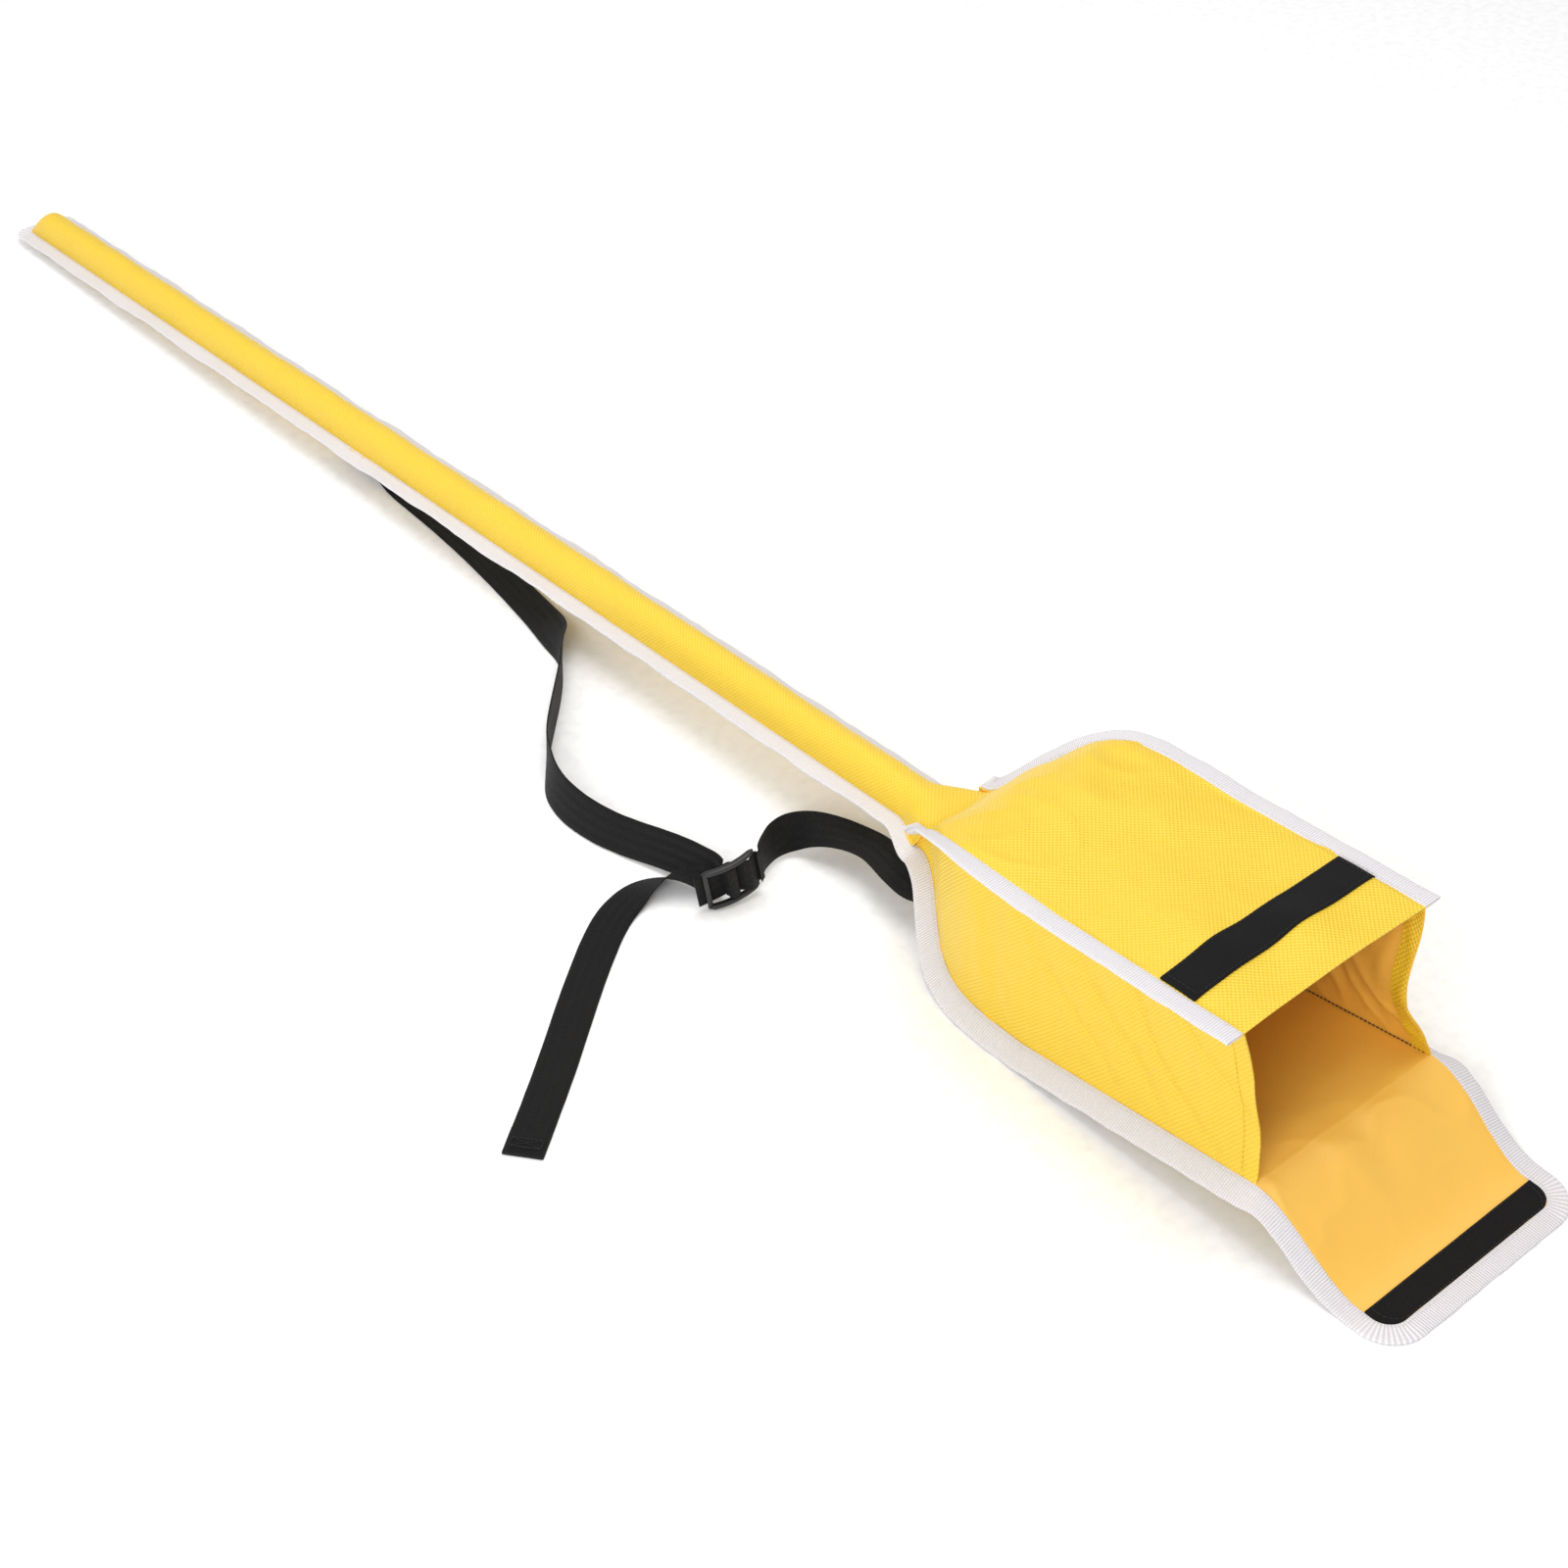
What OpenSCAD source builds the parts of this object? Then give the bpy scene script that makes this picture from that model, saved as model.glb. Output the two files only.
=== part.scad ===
// Soft carrying case for a pole with a folded head: a long padded sleeve that opens into a box pouch.
// The case lies on its back panel. +X runs from the sleeve tip to the mouth, +Y to the far side, +Z up.
// The origin is on the surface below the middle of the case's length.

/* [Pouch] */
// Width of the pouch between its side seams
pouch_w = 150; // [140:1:170]
// Height of the mouth from the back panel to the front panel
mouth_h = 99; // [96:1:105]
// Distance that the front panel's mouth edge is set back from the back panel's
mouth_lean = 21; // [15:1:25]
// Length of the pouch from the mouth fold to the neck
pouch_len = 321; // [310:1:340]
// Height of the mouth fold above the surface
mouth_z = 36; // [34:0.5:40]
// Height of the back panel above the surface at its shoulders
shoulder_z = 10.6; // [10:0.1:12]
// Width of the neck where the pouch meets the sleeve
neck_w = 54; // [50:1:60]

/* [Sleeve] */
// Length of the sleeve from the neck to its closed tip
sleeve_len = 1190; // [1100:5:1250]
// Width of the sleeve between its seams
sleeve_w = 30; // [28:1:32]
// Height of the sleeve's front above its seams
sleeve_crown = 21; // [18:0.5:22]
// Depth of the sleeve's back below its seams
sleeve_belly = 6.5; // [5:0.5:6.5]
// Height of the seams above the surface at the tip
tip_z = 8; // [8:0.5:10]
// Height of the seams above the surface at the neck
neck_z = 45; // [42:1:48]

/* [Flap] */
// Reach of the open flap from the mouth fold to the end of its binding
flap_reach = 112; // [108:1:120]
// Place of the flap's second fold, measured from the mouth fold
flap_fold = 50; // [48:1:52]
// Reach at which the open flap meets the surface
flap_touch = 80; // [76:1:84]
// Corner radius of the flap's end
flap_corner_r = 26; // [20:1:30]

/* [Fabric and tapes] */
// Thickness of the coated fabric with its hems
fabric_t = 1.2; // [1:0.1:1.4]
// Visible width of the binding tape
bind_w = 13; // [11:0.5:14]
// Thickness of a bound seam
bind_t = 2.4; // [2:0.1:2.6]
// Width of the seam flange and binding along the sleeve
sleeve_bind_w = 16; // [14:0.5:17]
// Width of the hook strip and of the loop strip
tape_w = 25; // [20:1:25]
// Thickness of the hook strip and of the loop strip
tape_t = 1.6; // [1.2:0.1:1.8]
// Distance of the loop strip from the mouth edge of the front panel
loop_setback = 35; // [30:1:40]

/* [Strap] */
// Width of the webbing
web_w = 25; // [24:0.5:26]
// Thickness of the webbing
web_t = 1.4; // [1.2:0.1:1.6]
// Length of the slider along the webbing
slider_len = 37; // [34:1:38]
// Width of the slider across the webbing
slider_w = 32; // [31:0.5:33]
// Thickness of the slider
slider_t = 4; // [3.5:0.5:4.5]

/* [Motion] */
// Angle that the front panel turns down when the mouth is pressed shut
press_deg = 14; // [10:1:14]

/* [Hidden] */

yellow = [0.93, 0.76, 0.20];
lilac_white = [0.88, 0.85, 0.87];
near_black = [0.10, 0.10, 0.10];

// Places along the length. The case is centred, so the mouth fold follows from the three lengths.
total_len = flap_reach + pouch_len + sleeve_len + bind_w;
hinge_x = total_len / 2 - flap_reach;
neck_x = hinge_x - pouch_len;
tip_x = neck_x - sleeve_len;
mouth_top_x = hinge_x - mouth_lean;
mouth_top_z = mouth_z + mouth_h;

// The shoulders: where each outline starts to narrow, and how late it does so.
back_shoulder_x = hinge_x - 179;
front_shoulder_x = hinge_x - 162;
press_x = hinge_x - 206;
back_power = 1.9;
back_rise_power = 2.8;
front_power = 2.6;
front_shoulder_z = mouth_top_z - 8;
neck_top_z = neck_z + 19;
shoulder_steps = 14;

// Gaps that let the folds and the gussets move.
fold_gap = 1.2;
gusset_setback = 5;
layer_gap = 0.4;
press_clearance = 0.9;

// Sleeve shaping
sleeve_steps = 16;
arch_steps = 12;
tip_round = 26;
flare_len = 34;
tip_narrow = 2;

// Flange droop below the back panel, and the height that keeps its edge on the surface.
droop_mouth = 9;
droop_neck = 4;

// Slider: the webbing's width is upright in it, and its length points along +Y, turned and tipped a little.
slider_pos = [307, -116, 19];
slider_turn = -11;
slider_tip = 8;
rail_w = (slider_w - web_w - 1) / 2;
bar_w = 4.5;
slot_len = (slider_len - 3 * bar_w) / 2;

// Strap routes: x, y, z of the webbing's middle, and the angle of its width above the surface.
long_route = [
    [-304, 2, 15.9, 0], [-280, 2, 16.5, 0], [-256, 1, 9, 0], [-228, 0, 0.8, 0], [-130, -7, 0.8, 0],
    [-34, -21, 2.8, 8], [8, -33, 9.6, 42], [32, -45, 12.6, 80], [58, -65, 12.8, 90],
    [104, -109, 12.8, 90], [126, -126, 12.6, 80], [148, -138, 12, 66], [172, -142, 11, 56],
    [198, -140, 10.6, 51], [222, -134, 10.8, 50], [256, -124, 13.7, 51], [286, -119, 16.8, 62],
    [298, -118, 17.6, 76],
];
short_route = [
    [306, -91, 20.8, 84], [300, -83, 18.8, 82], [293, -68, 16, 72], [294, -54, 15.6, 54],
    [304, -43, 17.6, 30], [324, -35, 21, 10], [350, -32, 24.6, 4], [380, -38, 27.4, 8],
    [397, -38, 28.4, 20], [405, -25, 30.6, 31], [405, -5, 33, 33],
];
tail_route = [
    [298, -125, 13.4, 100], [284, -128, 13, 76], [271, -137, 9.8, 46], [264, -150, 6, 24],
    [264, -166, 2.2, 7], [274, -190, 0.8, 0], [304, -231, 0.8, 0], [354, -292, 0.8, 0],
    [396, -346, 0.8, 0],
];

// ---------- functions ----------

function clamp01(t) = min(max(t, 0), 1);
function ease(t) = (1 - cos(180 * clamp01(t))) / 2;
function mix(a, b, t) = a + (b - a) * t;
function span(lo, hi, n) = [for (i = [0:n]) mix(lo, hi, i / n)];
function unit(v) = v / norm(v);

// Fraction of the way from a shoulder to the neck.
function toward_neck(x, shoulder_x) = clamp01((shoulder_x - x) / (shoulder_x - neck_x));

function back_half_w(x) =
    mix(pouch_w, neck_w, ease(pow(toward_neck(x, back_shoulder_x), back_power))) / 2;
function back_z(x) = x > back_shoulder_x
    ? mix(mouth_z, shoulder_z, (hinge_x - x) / (hinge_x - back_shoulder_x))
    : mix(shoulder_z, neck_z, ease(pow(toward_neck(x, back_shoulder_x), back_rise_power)));
function front_half_w(x) =
    mix(pouch_w, neck_w, ease(pow(toward_neck(x, front_shoulder_x), front_power))) / 2;
function front_z(x) = x > front_shoulder_x
    ? mix(mouth_top_z, front_shoulder_z, (mouth_top_x - x) / (mouth_top_x - front_shoulder_x))
    : mix(front_shoulder_z, neck_top_z, ease(pow(toward_neck(x, front_shoulder_x), front_power)));

// Outward normals, in plan, of the far side's outlines.
function back_normal(x) = unit([back_half_w(x - 0.5) - back_half_w(x + 0.5), 1, 0]);
function front_normal(x) = unit([front_half_w(x - 0.5) - front_half_w(x + 0.5), 1, 0]);

// Crown of the front panel, which grows into the sleeve's arch at the neck.
function front_crown(x) = 3 * ease(toward_neck(x, press_x));

// Seam height, half width, and heights of the sleeve's two faces.
function seam_z(x) = mix(neck_z, tip_z, (neck_x - x) / sleeve_len);
function flare(x) = ease((x - neck_x + flare_len) / flare_len);
function tip_fall(x) = sqrt(1 - pow(clamp01(1 - (x - tip_x) / tip_round), 2) * 0.86);
function seam_half_w(x) =
    mix(sleeve_w - tip_narrow * (neck_x - x) / sleeve_len, neck_w, flare(x)) / 2;
function crown_h(x) = sleeve_crown * tip_fall(x);
function belly_h(x) = (sleeve_belly - fabric_t) * tip_fall(x);
// Roundness of the arch: 1 is an ellipse, and less is a boxier section.
function arch_power(x) = mix(1, 0.4, flare(x));
function arch_point(x, angle, inset) = [
    x,
    -(seam_half_w(x) - inset) * cos(angle),
    seam_z(x) + (crown_h(x) - inset) * pow(max(sin(angle), 0), arch_power(x)),
];

// Height of the open flap's middle surface above the surface that it rests on.
function flap_z(x) = mix(mouth_z - fabric_t / 2, fabric_t / 2, ease((x - hinge_x) / flap_touch));

// The front panel's lower face after it has turned down by press_deg, less a clearance.
function pressed(p) =
    let (r = [p[0] - press_x, p[1] - front_z(press_x)])
    [press_x + r[0] * cos(press_deg) + r[1] * sin(press_deg),
     front_z(press_x) - r[0] * sin(press_deg) + r[1] * cos(press_deg) - press_clearance];

// A curve through a route's points, with one point halfway between each two.
function halfway(a, b, c, d) = (9 * (b + c) - a - d) / 16;
function smooth(route) = let (last = len(route) - 1)
    concat([for (i = [0:last - 1]) each [
        route[i],
        halfway(route[max(i - 1, 0)], route[i], route[i + 1], route[min(i + 2, last)])]],
        [route[last]]);

// A ring of webbing: four corners around a route point. It stays above the surface.
function heading(route, i) =
    let (d = route[min(i + 1, len(route) - 1)] - route[max(i - 1, 0)])
    unit([d[0], d[1], 0]);
function web_ring(route, i) =
    let (h = heading(route, i),
         roll = route[i][3],
         v = cos(roll) * [-h[1], h[0], 0] + sin(roll) * [0, 0, 1],
         n = cross(h, v),
         low = abs(v[2]) * web_w / 2 + abs(n[2]) * web_t / 2 + 0.1,
         p = [route[i][0], route[i][1], max(route[i][2], low)])
    [p - v * web_w / 2 - n * web_t / 2, p + v * web_w / 2 - n * web_t / 2,
     p + v * web_w / 2 + n * web_t / 2, p - v * web_w / 2 + n * web_t / 2];

// ---------- shared modules ----------

// Closed sheet between two point grids of the same size. The first grid is the outer face: its rows run
// along +X, and its columns turn to the left of them when seen from outside.
module sheet(outer, inner) {
    n = len(outer);
    m = len(outer[0]);
    function a(i, j) = i * m + j;
    function b(i, j) = n * m + i * m + j;
    faces = concat(
        [for (i = [0:n - 2], j = [0:m - 2]) each [
            [a(i, j), a(i, j + 1), a(i + 1, j + 1)], [a(i, j), a(i + 1, j + 1), a(i + 1, j)],
            [b(i, j), b(i + 1, j + 1), b(i, j + 1)], [b(i, j), b(i + 1, j), b(i + 1, j + 1)]]],
        [for (i = [0:n - 2]) each [
            [a(i, 0), a(i + 1, 0), b(i + 1, 0)], [a(i, 0), b(i + 1, 0), b(i, 0)],
            [a(i, m - 1), b(i + 1, m - 1), a(i + 1, m - 1)],
            [a(i, m - 1), b(i, m - 1), b(i + 1, m - 1)]]],
        [for (j = [0:m - 2]) each [
            [a(0, j), b(0, j), b(0, j + 1)], [a(0, j), b(0, j + 1), a(0, j + 1)],
            [a(n - 1, j), b(n - 1, j + 1), b(n - 1, j)],
            [a(n - 1, j), a(n - 1, j + 1), b(n - 1, j + 1)]]]);
    polyhedron([for (g = [outer, inner], row = g, p = row) p], faces, convexity = 6);
}

// Webbing swept along a route.
module webbing(route) {
    line = smooth(route);
    n = len(line);
    points = [for (i = [0:n - 1]) each web_ring(line, i)];
    faces = concat(
        [[0, 1, 2], [0, 2, 3]],
        [for (i = [0:n - 2], k = [0:3]) let (q = (k + 1) % 4, s = 4 * i) each [
            [s + k, s + k + 4, s + q + 4], [s + k, s + q + 4, s + q]]],
        [[4 * n - 4, 4 * n - 2, 4 * n - 3], [4 * n - 4, 4 * n - 1, 4 * n - 2]]);
    polyhedron(points, faces, convexity = 6);
}

// A side profile in X and Z, extruded between two places in Y.
module between(y0, y1) {
    translate([0, y1, 0]) rotate([90, 0, 0]) linear_extrude(y1 - y0) children();
}

// A band of fabric along a side profile, from a height above its line to a height below it.
module band(line, above, below) {
    n = len(line);
    polygon(concat([for (p = line) [p[0], p[1] + above]],
                   [for (i = [0:n - 1]) [line[n - 1 - i][0], line[n - 1 - i][1] - below]]));
}

// Everything on the near side mirrors the far side.
module side(near) {
    if (near) mirror([0, 1, 0]) children();
    else children();
}

// ---------- pouch ----------

module pouch_back() {
    xs = concat(span(neck_x, back_shoulder_x, shoulder_steps), [hinge_x - fold_gap]);
    top = [for (x = xs) [for (s = [-1, 1]) [x, s * back_half_w(x), back_z(x)]]];
    bottom = [for (r = top) [for (p = r) p - [0, 0, fabric_t]]];
    color(yellow) sheet(top, bottom);
}

module front_shoulder() {
    xs = span(neck_x, press_x, shoulder_steps);
    top = [for (x = xs) [for (t = span(-1, 1, 8))
        [x, t * front_half_w(x), front_z(x) + front_crown(x) * (1 - t * t)]]];
    bottom = [for (r = top) [for (p = r) p - [0, 0, fabric_t]]];
    color(yellow) sheet(top, bottom);
}

// Lower part of a gusset: it stays below the front panel when the mouth is pressed shut.
module gusset(near) {
    under = -fabric_t;
    top_edge = [for (x = [front_shoulder_x, mouth_top_x]) pressed([x, front_z(x) + under])];
    color(yellow) side(near)
        between(pouch_w / 2 - fabric_t, pouch_w / 2)
            polygon(concat(
                [[press_x, back_z(press_x)], [back_shoulder_x, shoulder_z], [hinge_x - gusset_setback,
                  back_z(hinge_x - gusset_setback)]],
                [[top_edge[1][0] + mouth_lean / 2, top_edge[1][1] - 3]],
                [top_edge[1], top_edge[0]],
                [[press_x, front_z(press_x) + under - press_clearance]]));
}

// Upper part of a gusset: it moves with the front panel, inside the lower part.
module gusset_top(near) {
    y1 = pouch_w / 2 - fabric_t - layer_gap;
    lower = mouth_top_z - mouth_h / 2 - 1.5;
    color(yellow) side(near)
        between(y1 - fabric_t, y1)
            polygon([
                [press_x + 8, front_z(press_x) - fabric_t], [front_shoulder_x, front_z(front_shoulder_x) - fabric_t],
                [mouth_top_x, mouth_top_z - fabric_t], [mouth_top_x + mouth_lean * 0.35, lower],
                [front_shoulder_x, front_z(front_shoulder_x) - 18], [press_x + 8, front_z(press_x) - 6]]);
}

module gusset_shoulder(near) {
    xs = span(neck_x, press_x, shoulder_steps);
    outer = [for (x = xs) [[x, back_half_w(x), back_z(x)], [x, front_half_w(x), front_z(x) - fabric_t]]];
    inner = [for (i = [0:len(xs) - 1]) [
        outer[i][0] - fabric_t * back_normal(xs[i]), outer[i][1] - fabric_t * front_normal(xs[i])]];
    color(yellow) side(near) sheet(inner, outer);
}

// Bound seam along the back panel's edge, from the neck to the mouth fold.
module binding_back(near) {
    xs = concat(span(neck_x, back_shoulder_x, shoulder_steps), [hinge_x - fold_gap]);
    edge = [for (x = xs) [x, back_half_w(x), back_z(x) - bind_t / 4]];
    rim = [for (i = [0:len(xs) - 1]) let (x = xs[i],
            drop = mix(droop_mouth, droop_neck, ease(toward_neck(x, back_shoulder_x))),
            p = edge[i] + bind_w * back_normal(x))
        [p[0], p[1], max(p[2] - drop, bind_t / 2)]];
    up = [0, 0, bind_t / 2];
    color(lilac_white) side(near)
        sheet([for (i = [0:len(xs) - 1]) [edge[i] + up, rim[i] + up]],
              [for (i = [0:len(xs) - 1]) [edge[i] - up, rim[i] - up]]);
}

// Bound seam along the front panel's edge, from the neck to the press line.
module binding_shoulder(near) {
    xs = span(neck_x, press_x, shoulder_steps);
    edge = [for (x = xs) [x, front_half_w(x), front_z(x) - bind_t / 4]];
    rim = [for (i = [0:len(xs) - 1]) edge[i] + bind_w * front_normal(xs[i])];
    up = [0, 0, bind_t / 2];
    color(lilac_white) side(near)
        sheet([for (i = [0:len(xs) - 1]) [edge[i] + up, rim[i] + up]],
              [for (i = [0:len(xs) - 1]) [edge[i] - up, rim[i] - up]]);
}

front_line = [[press_x + fold_gap, front_z(press_x + fold_gap)], [front_shoulder_x, front_shoulder_z],
              [mouth_top_x, mouth_top_z]];

module front_panel() {
    color(yellow) between(-pouch_w / 2, pouch_w / 2) band(front_line, 0, fabric_t);
}

module binding_front(near) {
    color(lilac_white) side(near)
        between(pouch_w / 2, pouch_w / 2 + bind_w) band(front_line, bind_t / 4, bind_t * 3 / 4);
}

// Hem folded under the front panel's mouth edge.
module front_hem() {
    half_w = pouch_w / 2 - 2 * (fabric_t + layer_gap) - layer_gap;
    x0 = mouth_top_x - 12;
    color(yellow) between(-half_w, half_w)
        band([[x0, front_z(x0) - fabric_t], [mouth_top_x, mouth_top_z - fabric_t]], 0, fabric_t);
}

module loop_strip() {
    x1 = mouth_top_x - loop_setback;
    x0 = x1 - tape_w;
    color(near_black) between(1 - pouch_w / 2, pouch_w / 2 - 1)
        band([[x0, front_z(x0)], [x1, front_z(x1)]], tape_t, 0);
}

// ---------- sleeve ----------

sleeve_xs = concat(span(tip_x, tip_x + tip_round, 4), span(tip_x + 2.5 * tip_round, neck_x - 1.5 * flare_len, 6),
                   span(neck_x - flare_len, neck_x, 5));

module sleeve_front() {
    angles = span(0, 180, arch_steps);
    outer = [for (x = sleeve_xs) [for (a = angles) arch_point(x, a, 0)]];
    inner = [for (x = sleeve_xs) [for (a = angles) arch_point(x, a, fabric_t)]];
    color(yellow) sheet(outer, inner);
}

module sleeve_back() {
    angles = span(0, 180, 8);
    top = [for (x = sleeve_xs) [for (a = angles)
        [x, -seam_half_w(x) * cos(a), seam_z(x) - belly_h(x) * max(sin(a), 0) * (1 - flare(x))]]];
    bottom = [for (r = top) [for (p = r) p - [0, 0, fabric_t]]];
    color(yellow) sheet(top, bottom);
}

// Bound seam along the sleeve, which narrows a little as it meets the pouch's binding.
module binding_sleeve(near) {
    up = [0, 0, bind_t / 2];
    rows = [for (x = sleeve_xs) let (w = mix(sleeve_bind_w, bind_w, flare(x)), z = seam_z(x) - bind_t / 4)
        [[x, seam_half_w(x), z], [x, seam_half_w(x) + w, z - droop_neck * flare(x)]]];
    color(lilac_white) side(near)
        sheet([for (r = rows) [r[0] + up, r[1] + up]], [for (r = rows) [r[0] - up, r[1] - up]]);
}

// Bound seam across the closed tip, with rounded corners.
module binding_sleeve_tip() {
    half_w = seam_half_w(tip_x) + sleeve_bind_w;
    corner_r = bind_w - 1;
    color(lilac_white)
        translate([0, 0, tip_z - bind_t * 3 / 4])
            linear_extrude(bind_t)
                intersection() {
                    translate([tip_x - bind_w, -half_w]) square([bind_w, 2 * half_w]);
                    union() {
                        translate([tip_x - bind_w + corner_r, -half_w]) square([2 * corner_r, 2 * half_w]);
                        translate([tip_x - bind_w, corner_r - half_w]) square([corner_r, 2 * (half_w - corner_r)]);
                        for (s = [-1, 1])
                            translate([tip_x - bind_w + corner_r, s * (half_w - corner_r)])
                                circle(corner_r, $fn = 48);
                    }
                }
}

// ---------- flap ----------

module flap_lower() {
    xs = span(hinge_x + fold_gap, hinge_x + flap_fold - fold_gap, 6);
    color(yellow) between(-pouch_w / 2, pouch_w / 2)
        band([for (x = xs) [x, flap_z(x)]], fabric_t / 2, fabric_t / 2);
}

module binding_flap(near) {
    xs = span(hinge_x + fold_gap, hinge_x + flap_fold - fold_gap, 6);
    color(lilac_white)
        side(near)
            between(pouch_w / 2, pouch_w / 2 + bind_w)
                band([for (x = xs) [x, flap_z(x)]], fabric_t / 2, fabric_t / 2);
}

// Plan outline of the flap's end, inset from the outside of its binding.
module flap_end_plan(inset) {
    half_w = pouch_w / 2 + bind_w - inset;
    r = flap_corner_r - inset;
    x0 = hinge_x + flap_fold + fold_gap;
    x1 = hinge_x + flap_reach - inset;
    union() {
        translate([x0, -half_w]) square([x1 - r - x0, 2 * half_w]);
        translate([x0, r - half_w]) square([x1 - x0, 2 * (half_w - r)]);
        for (s = [-1, 1]) translate([x1 - r, s * (half_w - r)]) circle(r, $fn = 64);
    }
}

// Everything of the flap's end that lies in its curved sheet.
module flap_end_sheet(above, below) {
    xs = concat(span(hinge_x + flap_fold + fold_gap, hinge_x + flap_touch, 5), [hinge_x + flap_reach]);
    intersection() {
        between(-pouch_w, pouch_w) band([for (x = xs) [x, flap_z(x)]], above, below);
        linear_extrude(2 * mouth_z) children();
    }
}

module flap_end() {
    color(yellow) flap_end_sheet(fabric_t / 2, fabric_t / 2) flap_end_plan(bind_w);
}

module binding_flap_end() {
    color(lilac_white)
        flap_end_sheet(fabric_t, fabric_t / 2)
            difference() {
                flap_end_plan(0);
                flap_end_plan(bind_w);
            }
}

module hook_strip() {
    x1 = hinge_x + flap_reach - bind_w;
    color(near_black)
        translate([0, 0, fabric_t])
            linear_extrude(tape_t)
                intersection() {
                    flap_end_plan(bind_w + 0.5);
                    translate([x1 - tape_w + 7, -pouch_w]) square([tape_w, 2 * pouch_w]);
                }
}

// ---------- strap ----------

module strap_long() { color(near_black) webbing(long_route); }
module strap_short() { color(near_black) webbing(short_route); }
module strap_tail() { color(near_black) webbing(tail_route); }

// Places children drawn in the slider's own frame: X across its thickness, Y along the webbing.
module at_slider() {
    translate(slider_pos) rotate([slider_tip, 0, slider_turn]) children();
}

// Slider: a frame with two slots and a middle bar.
module slider() {
    color(near_black)
        at_slider()
            rotate([0, -90, 0])
                translate([0, 0, -slider_t / 2])
                    linear_extrude(slider_t)
                        difference() {
                            square([slider_w, slider_len], center = true);
                            for (s = [-1, 1])
                                translate([0, s * (bar_w + slot_len) / 2])
                                    square([slider_w - 2 * rail_w, slot_len], center = true);
                        }
}

// Webbing threaded through both slots and behind the middle bar.
module strap_in_slider() {
    lift = slider_t / 2 + web_t / 2 + 0.15;
    y1 = bar_w / 2 + 0.9;
    y2 = slider_len / 2 - bar_w - 1.6;
    line = [[-y2, lift], [-y1, -lift], [y1, -lift], [y2, lift]];
    color(near_black)
        at_slider()
            translate([0, 0, -web_w / 2])
                linear_extrude(web_w)
                    polygon([for (p = concat(line, [for (i = [3:-1:0]) [line[i][0], line[i][1] - web_t]]))
                        [p[1] + web_t / 2, p[0]]]);
}

// ---------- assembly ----------

pouch_back();
sleeve_back();
sleeve_front();
front_shoulder();
gusset(true);  // gusset_near
gusset(false);  // gusset_far
gusset_shoulder(true);  // gusset_near_shoulder
gusset_shoulder(false);  // gusset_far_shoulder
binding_back(true);  // binding_back_near
binding_back(false);  // binding_back_far
binding_sleeve(true);  // binding_sleeve_near
binding_sleeve(false);  // binding_sleeve_far
binding_sleeve_tip();
binding_shoulder(true);  // binding_shoulder_near
binding_shoulder(false);  // binding_shoulder_far
strap_long();
strap_short();
strap_tail();
front_panel();
front_hem();
loop_strip();
binding_front(true);  // binding_front_near
binding_front(false);  // binding_front_far
gusset_top(true);  // gusset_near_top
gusset_top(false);  // gusset_far_top
flap_lower();
binding_flap(true);  // binding_flap_near
binding_flap(false);  // binding_flap_far
flap_end();
hook_strip();
binding_flap_end();
slider();
strap_in_slider();
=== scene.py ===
"""Yellow fabric carrying case, open, with its strap beside it. Shapes are worked out in millimetres."""

import math

import bpy
import numpy as np
from mathutils import Matrix, Vector, noise


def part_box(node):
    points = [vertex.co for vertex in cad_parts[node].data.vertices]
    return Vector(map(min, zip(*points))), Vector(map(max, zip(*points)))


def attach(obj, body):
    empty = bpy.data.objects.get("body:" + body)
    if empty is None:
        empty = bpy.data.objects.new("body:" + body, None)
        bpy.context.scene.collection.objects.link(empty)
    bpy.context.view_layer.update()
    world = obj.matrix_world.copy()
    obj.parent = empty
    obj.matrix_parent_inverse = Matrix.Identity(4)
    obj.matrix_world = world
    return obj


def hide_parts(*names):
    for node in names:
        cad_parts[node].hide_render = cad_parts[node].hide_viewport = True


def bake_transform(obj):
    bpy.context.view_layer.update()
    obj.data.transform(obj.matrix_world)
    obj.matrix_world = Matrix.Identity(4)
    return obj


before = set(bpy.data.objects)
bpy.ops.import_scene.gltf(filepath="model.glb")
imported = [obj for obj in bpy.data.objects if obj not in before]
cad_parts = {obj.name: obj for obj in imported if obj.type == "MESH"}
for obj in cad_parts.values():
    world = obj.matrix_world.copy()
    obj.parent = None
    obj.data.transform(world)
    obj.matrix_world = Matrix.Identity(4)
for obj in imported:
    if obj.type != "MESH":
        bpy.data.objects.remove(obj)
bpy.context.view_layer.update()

MM = 0.001


def low(node):
    return np.array(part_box(node)[0]) / MM


def high(node):
    return np.array(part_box(node)[1]) / MM


# ---------- sizes ----------

TIP_X = low("sleeve_front")[0]
NECK_X = high("sleeve_front")[0]
PRESS_X = high("front_shoulder")[0]
FOLD_GAP = low("front_panel")[0] - PRESS_X
HINGE_X = high("pouch_back")[0] + FOLD_GAP
MOUTH_X = high("front_panel")[0]
FLAP_END_X = high("binding_flap_end")[0]
SECOND_FOLD_X = low("flap_end")[0] - FOLD_GAP
HALF_W = high("front_panel")[1]
NECK_HALF = high("sleeve_front")[1]
MOUTH_TOP_Z = high("front_panel")[2]
NECK_Z = high("pouch_back")[2]
BIND_W = high("binding_front_far")[1] - HALF_W
SLEEVE_BIND_W = high("binding_sleeve_tip")[1] - 17
FLAP_R = 26
MOUTH_Z = 36
TIP_Z = 8
SHOULDER_Z = 10.6
BACK_SHOULDER_X = HINGE_X - 179
FRONT_SHOULDER_X = HINGE_X - 162
FRONT_SHOULDER_Z = MOUTH_TOP_Z - 8
NECK_TOP_Z = NECK_Z + 19
CROWN = 21
BELLY = 6.0
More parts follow.
